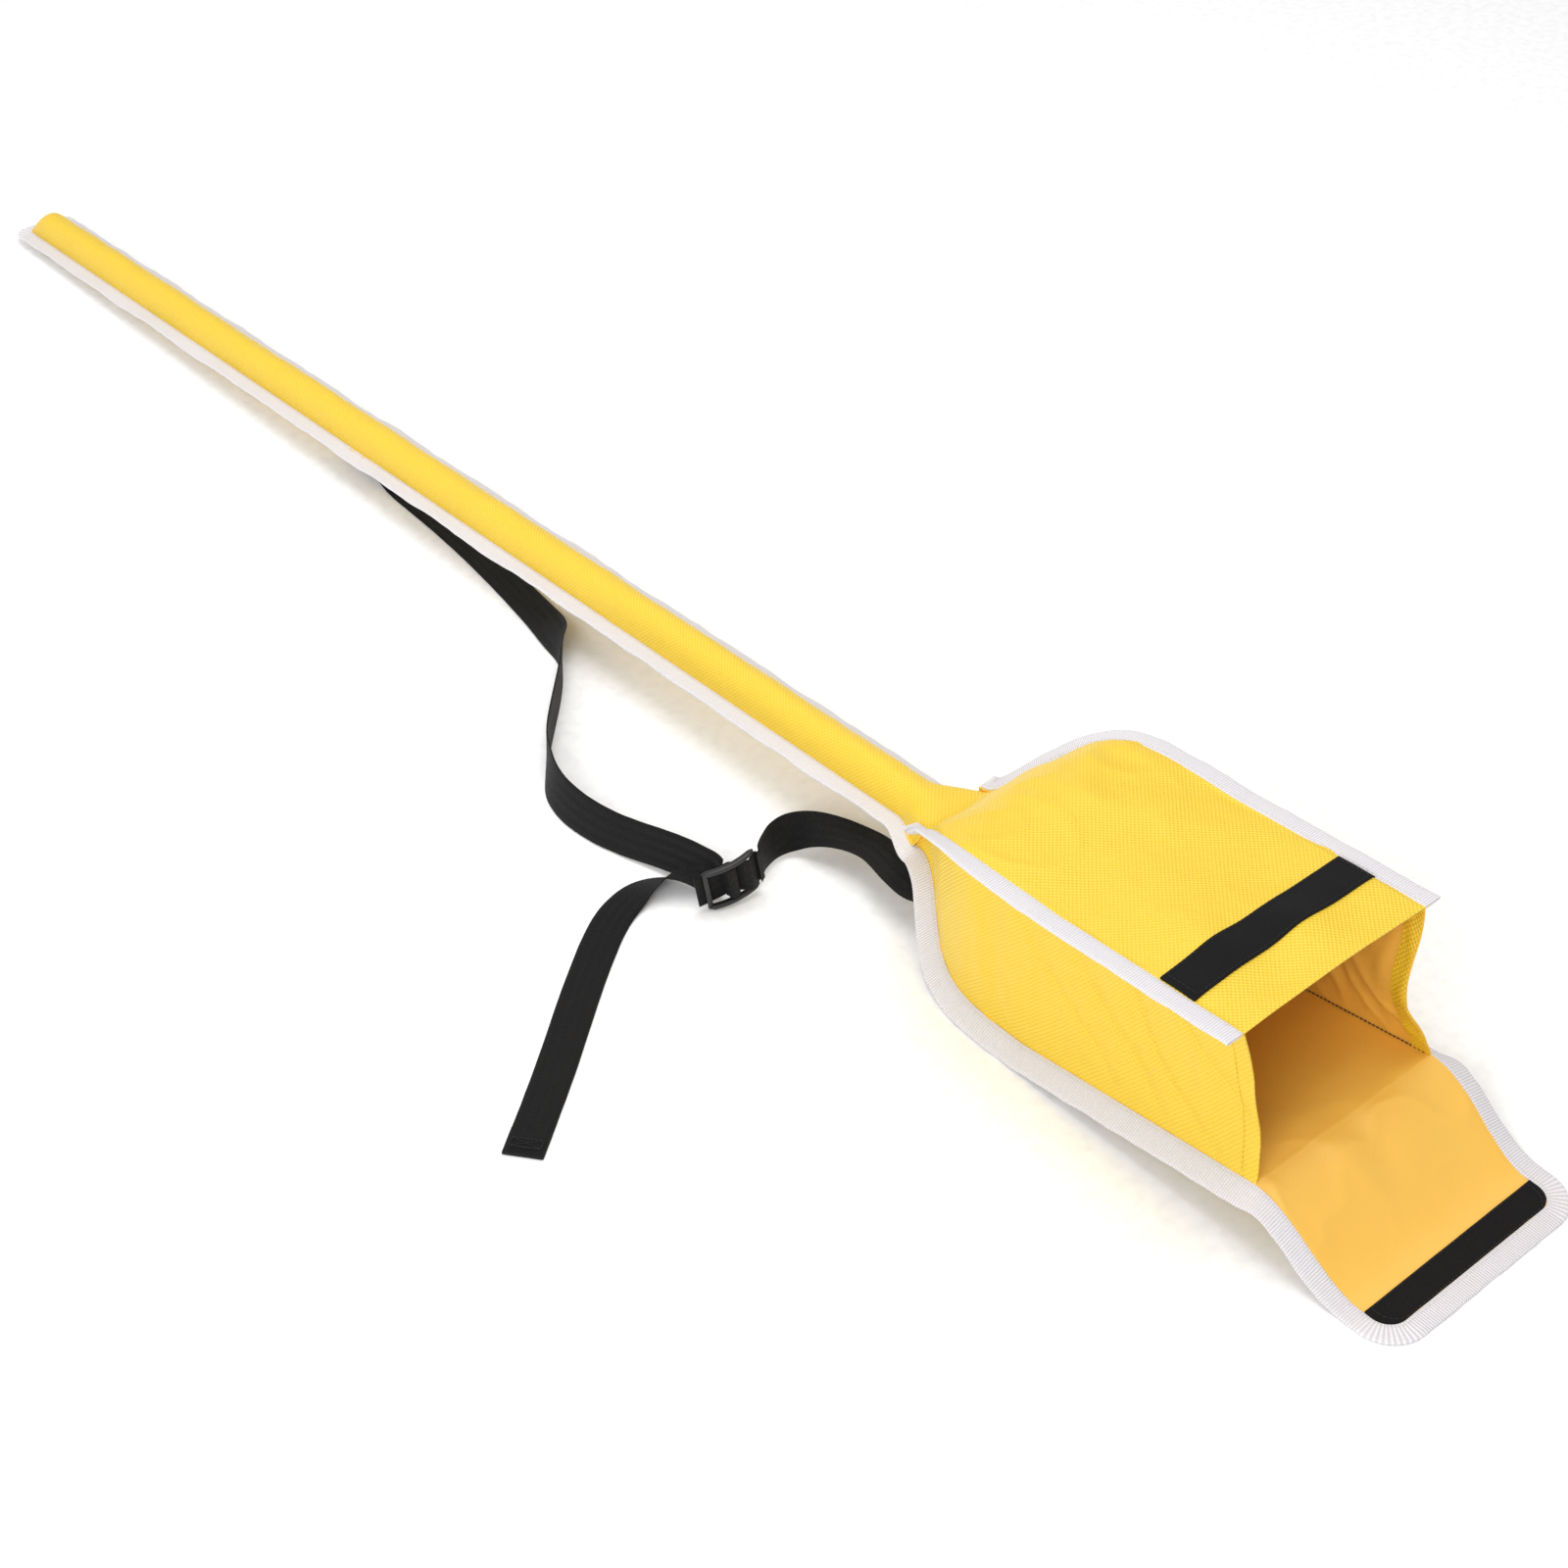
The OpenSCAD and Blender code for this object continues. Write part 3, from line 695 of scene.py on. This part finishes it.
def build_slider():
    """Three bars between two bowed rails."""
    verts, faces = [], []
    y_end, z_rail = SLIDER_LEN / 2 - 1.6, SLIDER_W / 2 - RAIL_W / 2
    parts = []
    for z in (-z_rail, z_rail):
        ends = (-1, -y_end - 1.6, z), (-1, y_end + 1.6, z)
        parts.append(rounded_bar(*ends, 2.3, RAIL_W / 2, bulge=3.6, bulge_axis=(1, 0, 0)))
    for y, x in ((-y_end, -1.0), (0, 1.6), (y_end, -1.0)):
        parts.append(rounded_bar((x, y, -z_rail - 0.6), (x, y, z_rail + 0.6), 1.5, 1.7))
    for rings in parts:
        rings = np.array(rings)
        n, m = rings.shape[:2]
        base = len(verts)
        verts.extend(rings.reshape(-1, 3).tolist())
        for i in range(n - 1):
            for k in range(m):
                a, b = base + i * m + k, base + i * m + (k + 1) % m
                faces.append([a, b, b + m, a + m])
        faces.append([base + k for k in range(m - 1, -1, -1)])
        faces.append([base + (n - 1) * m + k for k in range(m)])
    obj = make_mesh("slider_body", in_slider(verts), faces, [PLASTIC], sharp=60)
    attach(obj, "slider")
    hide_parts("slider")
    return obj


def flat_webbing(name, line):
    """Webbing in the slider, from a line of (x, y) in the slider's frame."""
    line = resample([(x, y, 0) for x, y in line], 1.0)
    d = unit(np.gradient(line, axis=0))
    n = np.stack([-d[:, 1], d[:, 0], 0 * d[:, 0]], axis=1)
    s = np.arange(len(line)) * 1.0
    rings, uv = [], []
    for a, h in STRAP_SECTION:
        ring = line + np.array([0, 0, 1.0]) * a * WEB_W + n * h * WEB_T
        rings.append(in_slider(ring))
        uv.append(np.stack([s, np.full(len(s), a * WEB_W)], axis=1))
    obj = loft(name, np.stack(rings, axis=1), WEBBING, uv=np.stack(uv, axis=1).reshape(-1, 2))
    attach(obj, "slider")
    return obj


def arc(cx, cy, r, a0, a1, n=7):
    angles = [math.radians(a) for a in np.linspace(a0, a1, n)]
    return [(cx + r * math.cos(a), cy + r * math.sin(a)) for a in angles]


long_strap, long_mid, long_width, long_face, long_length = strap("strap_long_webbing", LONG_ROUTE)
short_strap, short_mid, *_, short_length = strap("strap_short_webbing", SHORT_FROM_CASE)
tail_total = strap_frames(smooth_route(TAIL_ROUTE))[0]
tail_total = np.linalg.norm(np.diff(tail_total, axis=0), axis=1).sum()
HEM = 26
tail_strap, tail_mid, tail_width, tail_face, tail_length = strap(
    "strap_tail_webbing", TAIL_ROUTE,
    lambda s: np.where(s > tail_total - HEM, 1.0, WEB_T),
)
near_end = np.linalg.norm(tail_mid - tail_mid[-1], axis=1) < HEM
hem_mid = tail_mid[near_end] + np.array([0, 0, 1.15])
hem_width, hem_face = tail_width[near_end], tail_face[near_end]
hem_rings = np.stack(
    [hem_mid + hem_width * (a * WEB_W * 0.985) + hem_face * (h * 1.1) for a, h in STRAP_SECTION], axis=1
)
hem_s = np.linspace(0, HEM, len(hem_mid))
hem_uv = np.stack(
    [np.stack([hem_s, np.full(len(hem_s), a * WEB_W)], axis=1) for a, h in STRAP_SECTION], axis=1
)
tail_hem = loft("strap_tail_hem", hem_rings, WEBBING, uv=hem_uv.reshape(-1, 2))
hem_stitches = cross_stitches(
    "strap_tail_stitches", hem_mid[1:-1] + np.array([0, 0, 0.1]), hem_width[1:-1], hem_face[1:-1], 1
)

slider_body = build_slider()
threaded = flat_webbing(
    "strap_threaded",
    [(-3.4, -23.5), (-3.2, -17), (-3.1, -8), *arc(-0.2, 0.2, 3.3, 190, 150, 3), (2.2, 9), (3.2, 13.2),
     *arc(0.2, 17.0, 3.3, 120, 55, 5), (0.6, 20.5), (-0.6, 22.5)],
)
sewn_loop = flat_webbing(
    "strap_sewn_loop",
    [(-8.5, -4.4), (-4.6, -4.2), (-1.2, -3.9), *arc(1.0, 0.0, 3.3, -110, -20, 6),
     *arc(1.0, 0.0, 3.3, -10, 60, 4)],
)
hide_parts("strap_in_slider")
for piece in (long_strap, short_strap, tail_strap, tail_hem, hem_stitches):
    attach(piece, "case")
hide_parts("strap_long")
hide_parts("strap_short")
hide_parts("strap_tail")
patch_mid = slice(2, 12)
long_anchor_stitches = cross_stitches(
    "strap_long_stitches", long_mid[patch_mid], long_width[patch_mid], long_face[patch_mid], -1
)
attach(long_anchor_stitches, "case")


# ---------- fabric surfaces ----------


def pucker(along, from_seam, seed, reach=7.0, wavelength=9.0):
    """Small ripples that the stitching pulls into fabric near a seam."""
    return soft_noise(along / wavelength, from_seam / 25, seed) * np.exp(-np.abs(from_seam) / reach)


def front_surface(x, t):
    """Outer face of the front fabric at a distance x along the case, with t from 0 at the near seam to 1."""
    into_pouch = ease((x - NECK_X + 7) / 17)
    half = np.where(x < NECK_X, seam_half_w(x), front_half_w(x))
    edge = mix(seam_z(np.minimum(x, NECK_X)), front_z(np.maximum(x, NECK_X)), into_pouch)
    crown_pouch = 2.5 + 2.0 * bump(x - 450, 45)
    pouch_top = front_z(np.maximum(x, NECK_X)) + crown_pouch
    top = mix(seam_z(x) + CROWN * tip_fall(x), pouch_top, ease((x - NECK_X + 25) / 35))
    rise = top - edge
    boxy = mix(1.0, 0.42, flare(x))
    power = mix(boxy, 1.8, ease((x - NECK_X) / 16))
    a = np.pi * t
    y = -half * np.cos(a)
    z = edge + rise * np.sin(np.clip(a, 0, np.pi)) ** power
    seam = half * (1 - np.abs(np.cos(a)))
    return y, z, seam, into_pouch


def front_wrinkles(x, y, seam, into_pouch):
    """Height added to the front fabric by its waves, folds and puckers."""
    sleeve = 0.9 * soft_noise(x / 46, y / 11, 4.0) + 0.5 * soft_noise(x / 17, y / 9, 8.0)
    sleeve += 1.3 * pucker(x, seam, 2.0 + np.sign(y) * 0.7, 6.0, 10.0)
    panel = 3.0 * soft_noise(x / 75, y / 52, 12.0) + 0.5 * soft_noise(x / 26, y / 24, 15.0)
    panel += 1.0 * pucker(x, seam, 21.0 + np.sign(y) * 0.7, 8.0, 16.0)
    panel += 4.2 * bump(x - 645, 24) * bump(y - 12, 19) + 2.0 * bump(x - 630, 22) * bump(y + 32, 18)
    panel -= 1.2 * bump(x - 660, 18) * bump(y + 38, 24)
    panel += 2.0 * soft_noise(x / 40, y / 15, 18.0) * bump(x - 415, 40)
    panel += 1.3 * fold_noise((x + 0.5 * y) / 55, (y - 0.3 * x) / 34, 19.0) * bump(x - 470, 75)
    panel -= 3.5 * bump(x - 400, 14) * bump(y + 4, 30)
    panel += 1.6 * bump(x - 470 + 0.8 * (y - 30), 9) * bump(y - 40, 26)
    calm_mouth = 1 - 0.75 * ease((x - MOUTH_X + 14) / 14)
    return mix(sleeve * ease((x - TIP_X) / 20), panel * calm_mouth, into_pouch) * np.clip(seam / 2.5, 0.15, 1)


def front_height(x, y):
    """Height of the front panel's outer face over a point of the pouch."""
    half = front_half_w(x)
    t = np.arccos(np.clip(-y / half, -1, 1)) / np.pi
    yy, z, seam, into_pouch = front_surface(x, t)
    return z + front_wrinkles(x, yy, seam, into_pouch)


def build_front():
    xs = np.concatenate([np.arange(TIP_X, NECK_X - 40, 4.0), np.arange(NECK_X - 40, MOUTH_X, 2.2), [MOUTH_X]])
    ts = np.linspace(0, 1, 61)
    x, t = np.meshgrid(xs, ts, indexing="ij")
    y, z, seam, into_pouch = front_surface(x, t)
    z = z + front_wrinkles(x, y, seam, into_pouch)
    grid = np.stack([x, y, z], axis=-1)
    flange = []
    for side, column in ((-1, grid[:, 0]), (1, grid[:, -1])):
        flange.append(column + np.array([0, side * 3.0, 0]))
    grid = np.concatenate([flange[0][:, None], grid, flange[1][:, None]], axis=1)
    # The end of the sleeve is gathered down to the seam.
    closing = []
    for forward_mm, share in ((5.5, 0.0), (4.2, 0.25), (2.6, 0.55), (1.0, 0.84)):
        row = grid[0] * np.array([1, 1 - 0.12 * (1 - share), 1])
        row[:, 0] -= forward_mm
        row[:, 2] = seam_z(TIP_X) + 0.3 + (row[:, 2] - seam_z(TIP_X)) * share
        closing.append(row)
    grid = np.concatenate([np.array(closing), grid])
    obj = cloth("front_cloth", grid, FABRIC, INSIDE)
    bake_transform(obj)
    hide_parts("sleeve_front", "front_shoulder", "front_panel", "front_hem")
    return obj


def back_surface(x, t):
    """Outer, lower face of the back fabric, with its sleeve, pouch and flap."""
    a = np.pi * t
    half = np.where(x < NECK_X, seam_half_w(x), back_half_w(x))
    y = half * np.cos(a) * -1
    belly = BELLY * tip_fall(x) * (1 - flare(x)) * np.sin(a)
    z_case = np.where(x < NECK_X, seam_z(x) - belly, back_z(np.clip(x, NECK_X, HINGE_X)))
    z = np.where(x > HINGE_X, flap_z(x) + 0.35, z_case) - 0.85
    seam = half * (1 - np.abs(np.cos(a)))
    return y, z, seam


def back_wrinkles(x, y, seam):
    sleeve = 0.5 * soft_noise(x / 40, y / 10, 31.0) * (x < NECK_X)
    pouch = (0.9 * soft_noise(x / 70, y / 55, 33.0) + 0.4 * soft_noise(x / 24, y / 30, 35.0)) * (x >= NECK_X)
    waves = 1.8 * bump(y + 18, 15) - 1.5 * bump(y - 2, 9) + 1.2 * bump(y - 30, 18)
    flap = bump(x - HINGE_X - 24, 20) * waves
    flap = flap + 1.1 * fold_noise((x + 0.4 * y) / 45, (y - 0.2 * x) / 30, 39.0) * bump(x - HINGE_X - 20, 34)
    rest = ease((HINGE_X + 85 - x) / 40)
    pulled = 0.5 * pucker(x, seam, 37.0 + np.sign(y), 7, 12) * rest
    return (sleeve + pouch * rest + flap) * np.clip(seam / 3, 0, 1) + pulled


def sheet_grid(xs, surface, wrinkles, columns=61, reach=1.5):
    x, t = np.meshgrid(xs, np.linspace(1, 0, columns), indexing="ij")
    y, z, seam = surface(x, t)
    z = np.maximum(z + wrinkles(x, y, seam), 0.1)
    grid = np.stack([x, y, z], axis=-1)
    near = grid[:, -1] + np.array([0, -reach, -0.9])
    far = grid[:, 0] + np.array([0, reach, -0.9])
    near[:, 2] = np.maximum(near[:, 2], 0.1)
    far[:, 2] = np.maximum(far[:, 2], 0.1)
    return flap_taper(np.concatenate([far[:, None], grid, near[:, None]], axis=1))


def build_back():
    xs = np.concatenate(
        [np.arange(TIP_X, NECK_X - 40, 4.0), np.arange(NECK_X - 40, HINGE_X - 12, 2.5),
         np.arange(HINGE_X - 12, FLAP_SPLIT_X, 1.0), [FLAP_SPLIT_X]]
    )
    obj = cloth("back_cloth", sheet_grid(xs, back_surface, back_wrinkles), FABRIC, INSIDE)
    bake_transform(obj)
    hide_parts("sleeve_back", "pouch_back", "flap_lower")
    return obj


def flap_outline_half_w(x):
    """Half width of the flap's yellow cloth, with its rounded end corners."""
    r = FLAP_R - BIND_W
    x_end = FLAP_END_X - BIND_W
    into = np.clip(x - (x_end - r), 0, r)
    return HALF_W - r + np.sqrt(np.maximum(r * r - into * into, 0))


def build_flap():
    x_end = FLAP_END_X - BIND_W
    r = FLAP_R - BIND_W
    rounding = x_end - r + r * np.sin(np.linspace(0, np.pi / 2, 12))
    xs = np.concatenate([np.arange(FLAP_SPLIT_X, x_end - r, 1.5), rounding])

    def surface(x, t):
        y, z, seam = back_surface(x, t)
        return y * flap_outline_half_w(x) / HALF_W, z, seam

    grid = sheet_grid(xs, surface, back_wrinkles)
    end_row = grid[-1:] + np.array([3.0, 0, 0])
    obj = cloth("flap_cloth", np.concatenate([grid, end_row]), FABRIC, INSIDE)
    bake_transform(obj)
    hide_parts("flap_end")
    return obj


def gusset_point(x, v):
    """Outer face of a gusset. v is 0 at the back panel and 1 at the front panel."""
    z = mix(back_z(x), front_z(x) - 0.9, v)
    y = mix(back_half_w(x), front_half_w(x), v)
    return y, z


def gusset_bow(x, v, side):
    """How far a gusset is drawn in from flat."""
    mid = np.sin(np.pi * np.clip(v, 0, 1))
    if side > 0:
        bow = 15.0 * bump(x - 705, 62) * mid ** 1.3 * (1 - 0.25 * np.cos(2 * np.pi * v))
        bow += 3.5 * bump(x - 560, 60) * mid
    else:
        bow = 5.0 * bump(x - 700, 55) * np.sin(np.pi * np.clip(v, 0, 1) ** 0.7)
        low_bulge = np.sin(np.pi * np.clip(v, 0, 1) ** 1.5)
        bow += 2.5 * bump(x - 590, 50) * mid - 3.0 * bump(x - 470, 45) * low_bulge
    return bow


def gusset_wrinkles(x, v, seed):
    tall = 2.8 * soft_noise(x / 19 + 0.6 * v, v * 1.1, seed) + 0.9 * soft_noise(x / 9, v * 2.2, seed + 3)
    slant = 3.0 * fold_noise((x + 95 * v) / 40, v * 1.3, seed + 7) * bump(x - 620, 110)
    neck = 1.4 * soft_noise(x / 8, v * 1.3, seed + 11) * bump(x - 400, 24)
    return (tall + slant + neck) * np.sin(np.pi * np.clip(v, 0, 1)) ** 0.5


def gusset_grid(side, s_lo, s_hi, rows, columns=49):
    """Grid of a gusset between two places along it. Past the press line it leans with the mouth."""
    s, v = np.meshgrid(np.linspace(s_lo, s_hi, rows), np.linspace(0, 1, columns), indexing="ij")
    x = s.copy()
    for _ in range(3):
        z = gusset_point(x, v)[1]
        reach = np.clip((s - PRESS_X) / (HINGE_X - PRESS_X), 0, 1)
        x = np.where(s > PRESS_X, PRESS_X + reach * (mouth_plane_x(z) - PRESS_X), s)
    y, z = gusset_point(x, v)
    seed = 51.0 if side > 0 else 41.0
    y = y - gusset_bow(x, v, side) - gusset_wrinkles(x, v, seed)
    grid = np.stack([x, y * side, z], axis=-1)
    return grid if side < 0 else grid[:, ::-1]


def build_gusset(side, label):
    neck = cloth(f"gusset_{label}_neck", gusset_grid(side, NECK_X - 3, PRESS_X, 60), FABRIC, INSIDE)
    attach(neck, "case")
    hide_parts(f"gusset_{label}_shoulder")
    mouth = cloth(f"gusset_{label}_mouth", gusset_grid(side, PRESS_X, HINGE_X, 100), FABRIC, INSIDE)
    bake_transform(mouth)
    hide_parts(f"gusset_{label}", f"gusset_{label}_top")
    # Hem folded to the inside along the mouth, and the row of stitches that holds it.
    edge = gusset_grid(side, HINGE_X - 13, HINGE_X - 0.6, 8)
    inward = grid_normals(edge)
    hem = cloth(f"gusset_{label}_hem", (edge - inward * (CLOTH_T + 0.75))[::-1], FABRIC, FABRIC, 0.6)
    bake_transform(hem)
    row = edge[1] + inward[1] * 0.1
    line = stitches(f"gusset_{label}_stitches", row[1:-2], inward[1][1:-2], YELLOW_THREAD, radius=0.24)
    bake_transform(line)


def inside_seam(side, label):
    """Seam between a gusset and the back panel, seen from inside the pouch."""
    xs = np.arange(NECK_X + 60, HINGE_X - 3, 2.0)
    line = np.stack([xs, side * (back_half_w(xs) - 1.3), back_z(xs) + 0.35], axis=1)
    seam = stitches(f"inside_seam_{label}", line, (0, -0.7 * side, 0.7), SEAM_THREAD, pitch=3.0, radius=0.45)
    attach(seam, "case")


build_front()
build_back()
flap_cloth = build_flap()
for gusset_side, gusset_label in ((-1, "near"), (1, "far")):
    build_gusset(gusset_side, gusset_label)
    inside_seam(gusset_side, gusset_label)


# ---------- bindings ----------

CASE_TO_FLAP = dict(a="case", b="flap_root", start=((HINGE_X - 7) * MM, 0, 0), end=((HINGE_X + 9) * MM, 0, 0))
FLAP_TO_TIP = dict(
    a="flap_root", b="flap_tip", start=((SECOND_FOLD_X - 8) * MM, 0, 0), end=((SECOND_FOLD_X + 8) * MM, 0, 0)
)
CASE_TO_FRONT = dict(a="case", b="front", start=((PRESS_X - 14) * MM, 0, 0), end=((PRESS_X + 16) * MM, 0, 0))


def bound_edge(name, inner, outer, blend, replaced, seed, ripple=0.5, thickness=TAPE_T):
    """Binding with a row of stitches near its inner edge."""
    inner, outer = flap_taper(inner), flap_taper(outer)
    along = unit(np.gradient(inner, axis=0))
    across = unit(outer - inner)
    upward = unit(np.cross(across, along))
    upward = np.where(upward[:, 2:] < 0, -upward, upward)
    piece = tape(name, inner, outer, upward, BINDING, thickness, seed, ripple)
    row = inner + across * 2.2 + upward * (thickness * 0.5 + 0.05)
    thread = stitches(name + "_stitches", row, upward, WHITE_THREAD)
    for obj in (piece, thread):
        if blend is None:
            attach(obj, "case")
        else:
            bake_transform(obj)
    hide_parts(*replaced)
    return piece


def back_binding(side, label, seed):
    xs = np.concatenate(
        [np.arange(TIP_X, NECK_X - 40, 5.0), np.arange(NECK_X - 40, FLAP_SPLIT_X, 2.5), [FLAP_SPLIT_X]]
    )
    half = np.where(xs < NECK_X, seam_half_w(xs), back_half_w(xs))
    pouch_z = np.where(xs < HINGE_X, back_z(np.minimum(xs, HINGE_X)), flap_z(xs) + 0.6)
    z = np.where(xs < NECK_X, seam_z(xs), pouch_z) - 0.6
    out = plan_normal(back_half_w, np.maximum(xs, NECK_X + 0.6))
    blend_out = ease((xs - NECK_X + 20) / 26)
    straight = np.array([0, 1.0, 0])
    out = unit(mix(straight, out, blend_out[:, None]))
    width = mix(SLEEVE_BIND_W, BIND_W, flare(xs))
    droop = 9.2 * ease((xs - NECK_X) / 70) * (1 - ease((xs - HINGE_X + 14) / 30)) + 4.0 * flare(xs)
    droop = np.minimum(droop, 9.2)
    # On the sleeve the tape waves a little as it lies loose.
    wave = soft_noise(xs / 60, 0 * xs, seed + 2) * 3.0 + soft_noise(xs / 24, 0 * xs, seed + 4) * 1.2
    wave = wave * (1 - flare(xs))
    tip_calm = ease((xs - TIP_X) / 60)
    inner = np.stack([xs, half, z], axis=1)
    outer = inner + out * width[:, None]
    outer[:, 2] = np.maximum(outer[:, 2] - droop + wave * tip_calm, TAPE_T / 2 + 0.2)
    flip = np.array([1, side, 1])
    nodes = [f"binding_back_{label}", f"binding_sleeve_{label}", f"binding_flap_{label}"]
    return bound_edge(f"binding_{label}", inner * flip, outer * flip, CASE_TO_FLAP, nodes, seed)


def front_binding(side, label, seed):
    xs = np.concatenate([np.arange(NECK_X - 2, MOUTH_X, 2.5), [MOUTH_X]])
    z = front_z(np.maximum(xs, NECK_X)) - 0.5 + 0.6 * soft_noise(xs / 30, 0 * xs, seed)
    inner = np.stack([xs, front_half_w(xs), z], axis=1)
    out = plan_normal(front_half_w, np.maximum(xs, NECK_X + 0.6))
    lift = 17 * bump(xs - 452, 34) + 6 * soft_noise(xs / 38, 0 * xs, seed + 1) + 14 * bump(xs - NECK_X, 8)
    lift = lift if side < 0 else 0.4 * lift - 6 * bump(xs - 470, 60)
    lift = np.radians(lift)
    outer = inner + out * (BIND_W * np.cos(lift))[:, None]
    outer[:, 2] += BIND_W * np.sin(lift)
    flip = np.array([1, side, 1])
    nodes = [f"binding_front_{label}", f"binding_shoulder_{label}"]
    return bound_edge(f"binding_top_{label}", inner * flip, outer * flip, CASE_TO_FRONT, nodes, seed, 0.5)


def corner_path(half_w, x_end, r, x_start, n=10):
    """Plan path from the near side round the flap's end to the far side."""
    angles = np.linspace(0, math.pi / 2, n)
    near = [(x_end - r + r * math.sin(a), -(half_w - r) - r * math.cos(a)) for a in angles]
    far = [(x, -y) for x, y in near[::-1]]
    straight = [(x, -half_w) for x in np.arange(x_start, x_end - r - 2, 2.5)]
    across = [(x_end, y) for y in np.arange(-(half_w - r) + 3, half_w - r - 2, 3.0)]
    return np.array([*straight, *near, *across, *far, *[(x, -y) for x, y in straight[::-1]]])


def flap_binding():
    inner_plan = corner_path(HALF_W, FLAP_END_X - BIND_W, FLAP_R - BIND_W, FLAP_SPLIT_X)
    n = len(inner_plan)
    along = unit(np.gradient(inner_plan, axis=0))
    out = np.stack([along[:, 1], -along[:, 0]], axis=1)
    outer_plan = inner_plan + out * BIND_W
    inner = np.column_stack([inner_plan, flap_z(inner_plan[:, 0])])
    z_out = flap_z(outer_plan[:, 0])
    droop = 3.6 * (1 - ease((outer_plan[:, 0] - SECOND_FOLD_X + 8) / 30))
    outer = np.column_stack([outer_plan, z_out - droop])
    inner[:, 2] = np.maximum(inner[:, 2], TAPE_T / 2 + 0.1)
    outer[:, 2] = np.maximum(outer[:, 2], TAPE_T / 2 + 0.1)
    return bound_edge("binding_flap", inner, outer, FLAP_TO_TIP, ["binding_flap_end"], 71.0, 0.2)


def tip_binding():
    half = float(seam_half_w(np.array(TIP_X)))
    inner, outer = [], []
    reach, r = half + SLEEVE_BIND_W, BIND_W - 1
    for a in np.linspace(0, math.pi / 2, 9):
        left = 1 - a / (math.pi / 2)
        inner.append((TIP_X + 4 * left, -half - SLEEVE_BIND_W * 0.35 * left))
        outer.append((TIP_X - BIND_W + r - r * math.sin(a), -(reach - r) - r * math.cos(a)))
    for y in np.linspace(-half + 3, half - 3, 12):
        inner.append((TIP_X, y))
        outer.append((TIP_X - BIND_W, y * (reach - r) / half))
    inner += [(x, -y) for x, y in inner[8::-1]]
    outer += [(x, -y) for x, y in outer[8::-1]]
    inner = np.column_stack([np.array(inner), np.full(len(inner), TIP_Z - 0.6)])
    outer = np.column_stack([np.array(outer), np.full(len(outer), TIP_Z - 0.6)])
    return bound_edge("binding_tip", inner, outer, None, ["binding_sleeve_tip"], 77.0, 0.3)


back_binding(-1, "near", 61.0)
back_binding(1, "far", 64.0)
front_binding(-1, "near", 67.0)
front_binding(1, "far", 69.0)
flap_binding()
tip_binding()


# ---------- hook and loop strips ----------


def strip(name, grid, material, thickness):
    """A stiff tape on a surface, from a grid of points on its top face."""
    return cloth(name, grid, material, material, thickness)


def sewn_border(name, grid, lift=0.1):
    """Stitches just inside the four edges of a strip."""
    normals = grid_normals(grid)
    inset = grid + normals * lift
    line = [*inset[1, 2:-2], *inset[1:-1, -3], *inset[-2, -3:2:-1], *inset[-2:0:-1, 2]]
    return stitches(name, line, np.array([0, 0, 1.0]), BLACK_THREAD, radius=0.25)


LOOP_X0, LOOP_X1 = low("loop_strip")[0], high("loop_strip")[0]
across = np.linspace(HALF_W - 0.6, -HALF_W + 0.6, 75)
x, y = np.meshgrid(np.linspace(LOOP_X0, LOOP_X1, 19), across, indexing="ij")
loop_grid = np.stack([x, y, front_height(x, y) + 1.5], axis=-1)[:, ::-1]
loop_strip = strip("loop_strip_pile", loop_grid, LOOP, 1.5)
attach(loop_strip, "front")
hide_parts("loop_strip")
loop_stitches = sewn_border("loop_strip_stitches", loop_grid)
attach(loop_stitches, "front")

HOOK_X0, HOOK_X1 = low("hook_strip")[0], high("hook_strip")[0]
r = FLAP_R - BIND_W - 0.5
rounding = HOOK_X1 - r + r * np.sin(np.linspace(0.1, np.pi / 2 - 0.06, 10))
xs = np.concatenate([np.linspace(HOOK_X0, HOOK_X1 - r, 6), rounding])
half_at = HALF_W - 0.5 - r + np.sqrt(np.maximum(r * r - np.clip(xs - (HOOK_X1 - r), 0, r) ** 2, 0))
x, t = np.meshgrid(xs, np.linspace(-1, 1, 75), indexing="ij")
hook_top = flap_z(x) + 0.3 + 1.5 + 0.25 * soft_noise(x / 20, t * 4, 88.0)
hook_grid = np.stack([x, t * half_at[:, None], hook_top], axis=-1)
hook_grid = flap_taper(hook_grid)
hook_strip = strip("hook_strip_pile", hook_grid, HOOK, 1.4)
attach(hook_strip, "flap_tip")
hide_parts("hook_strip")
hook_stitches = sewn_border("hook_strip_stitches", hook_grid)
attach(hook_stitches, "flap_tip")
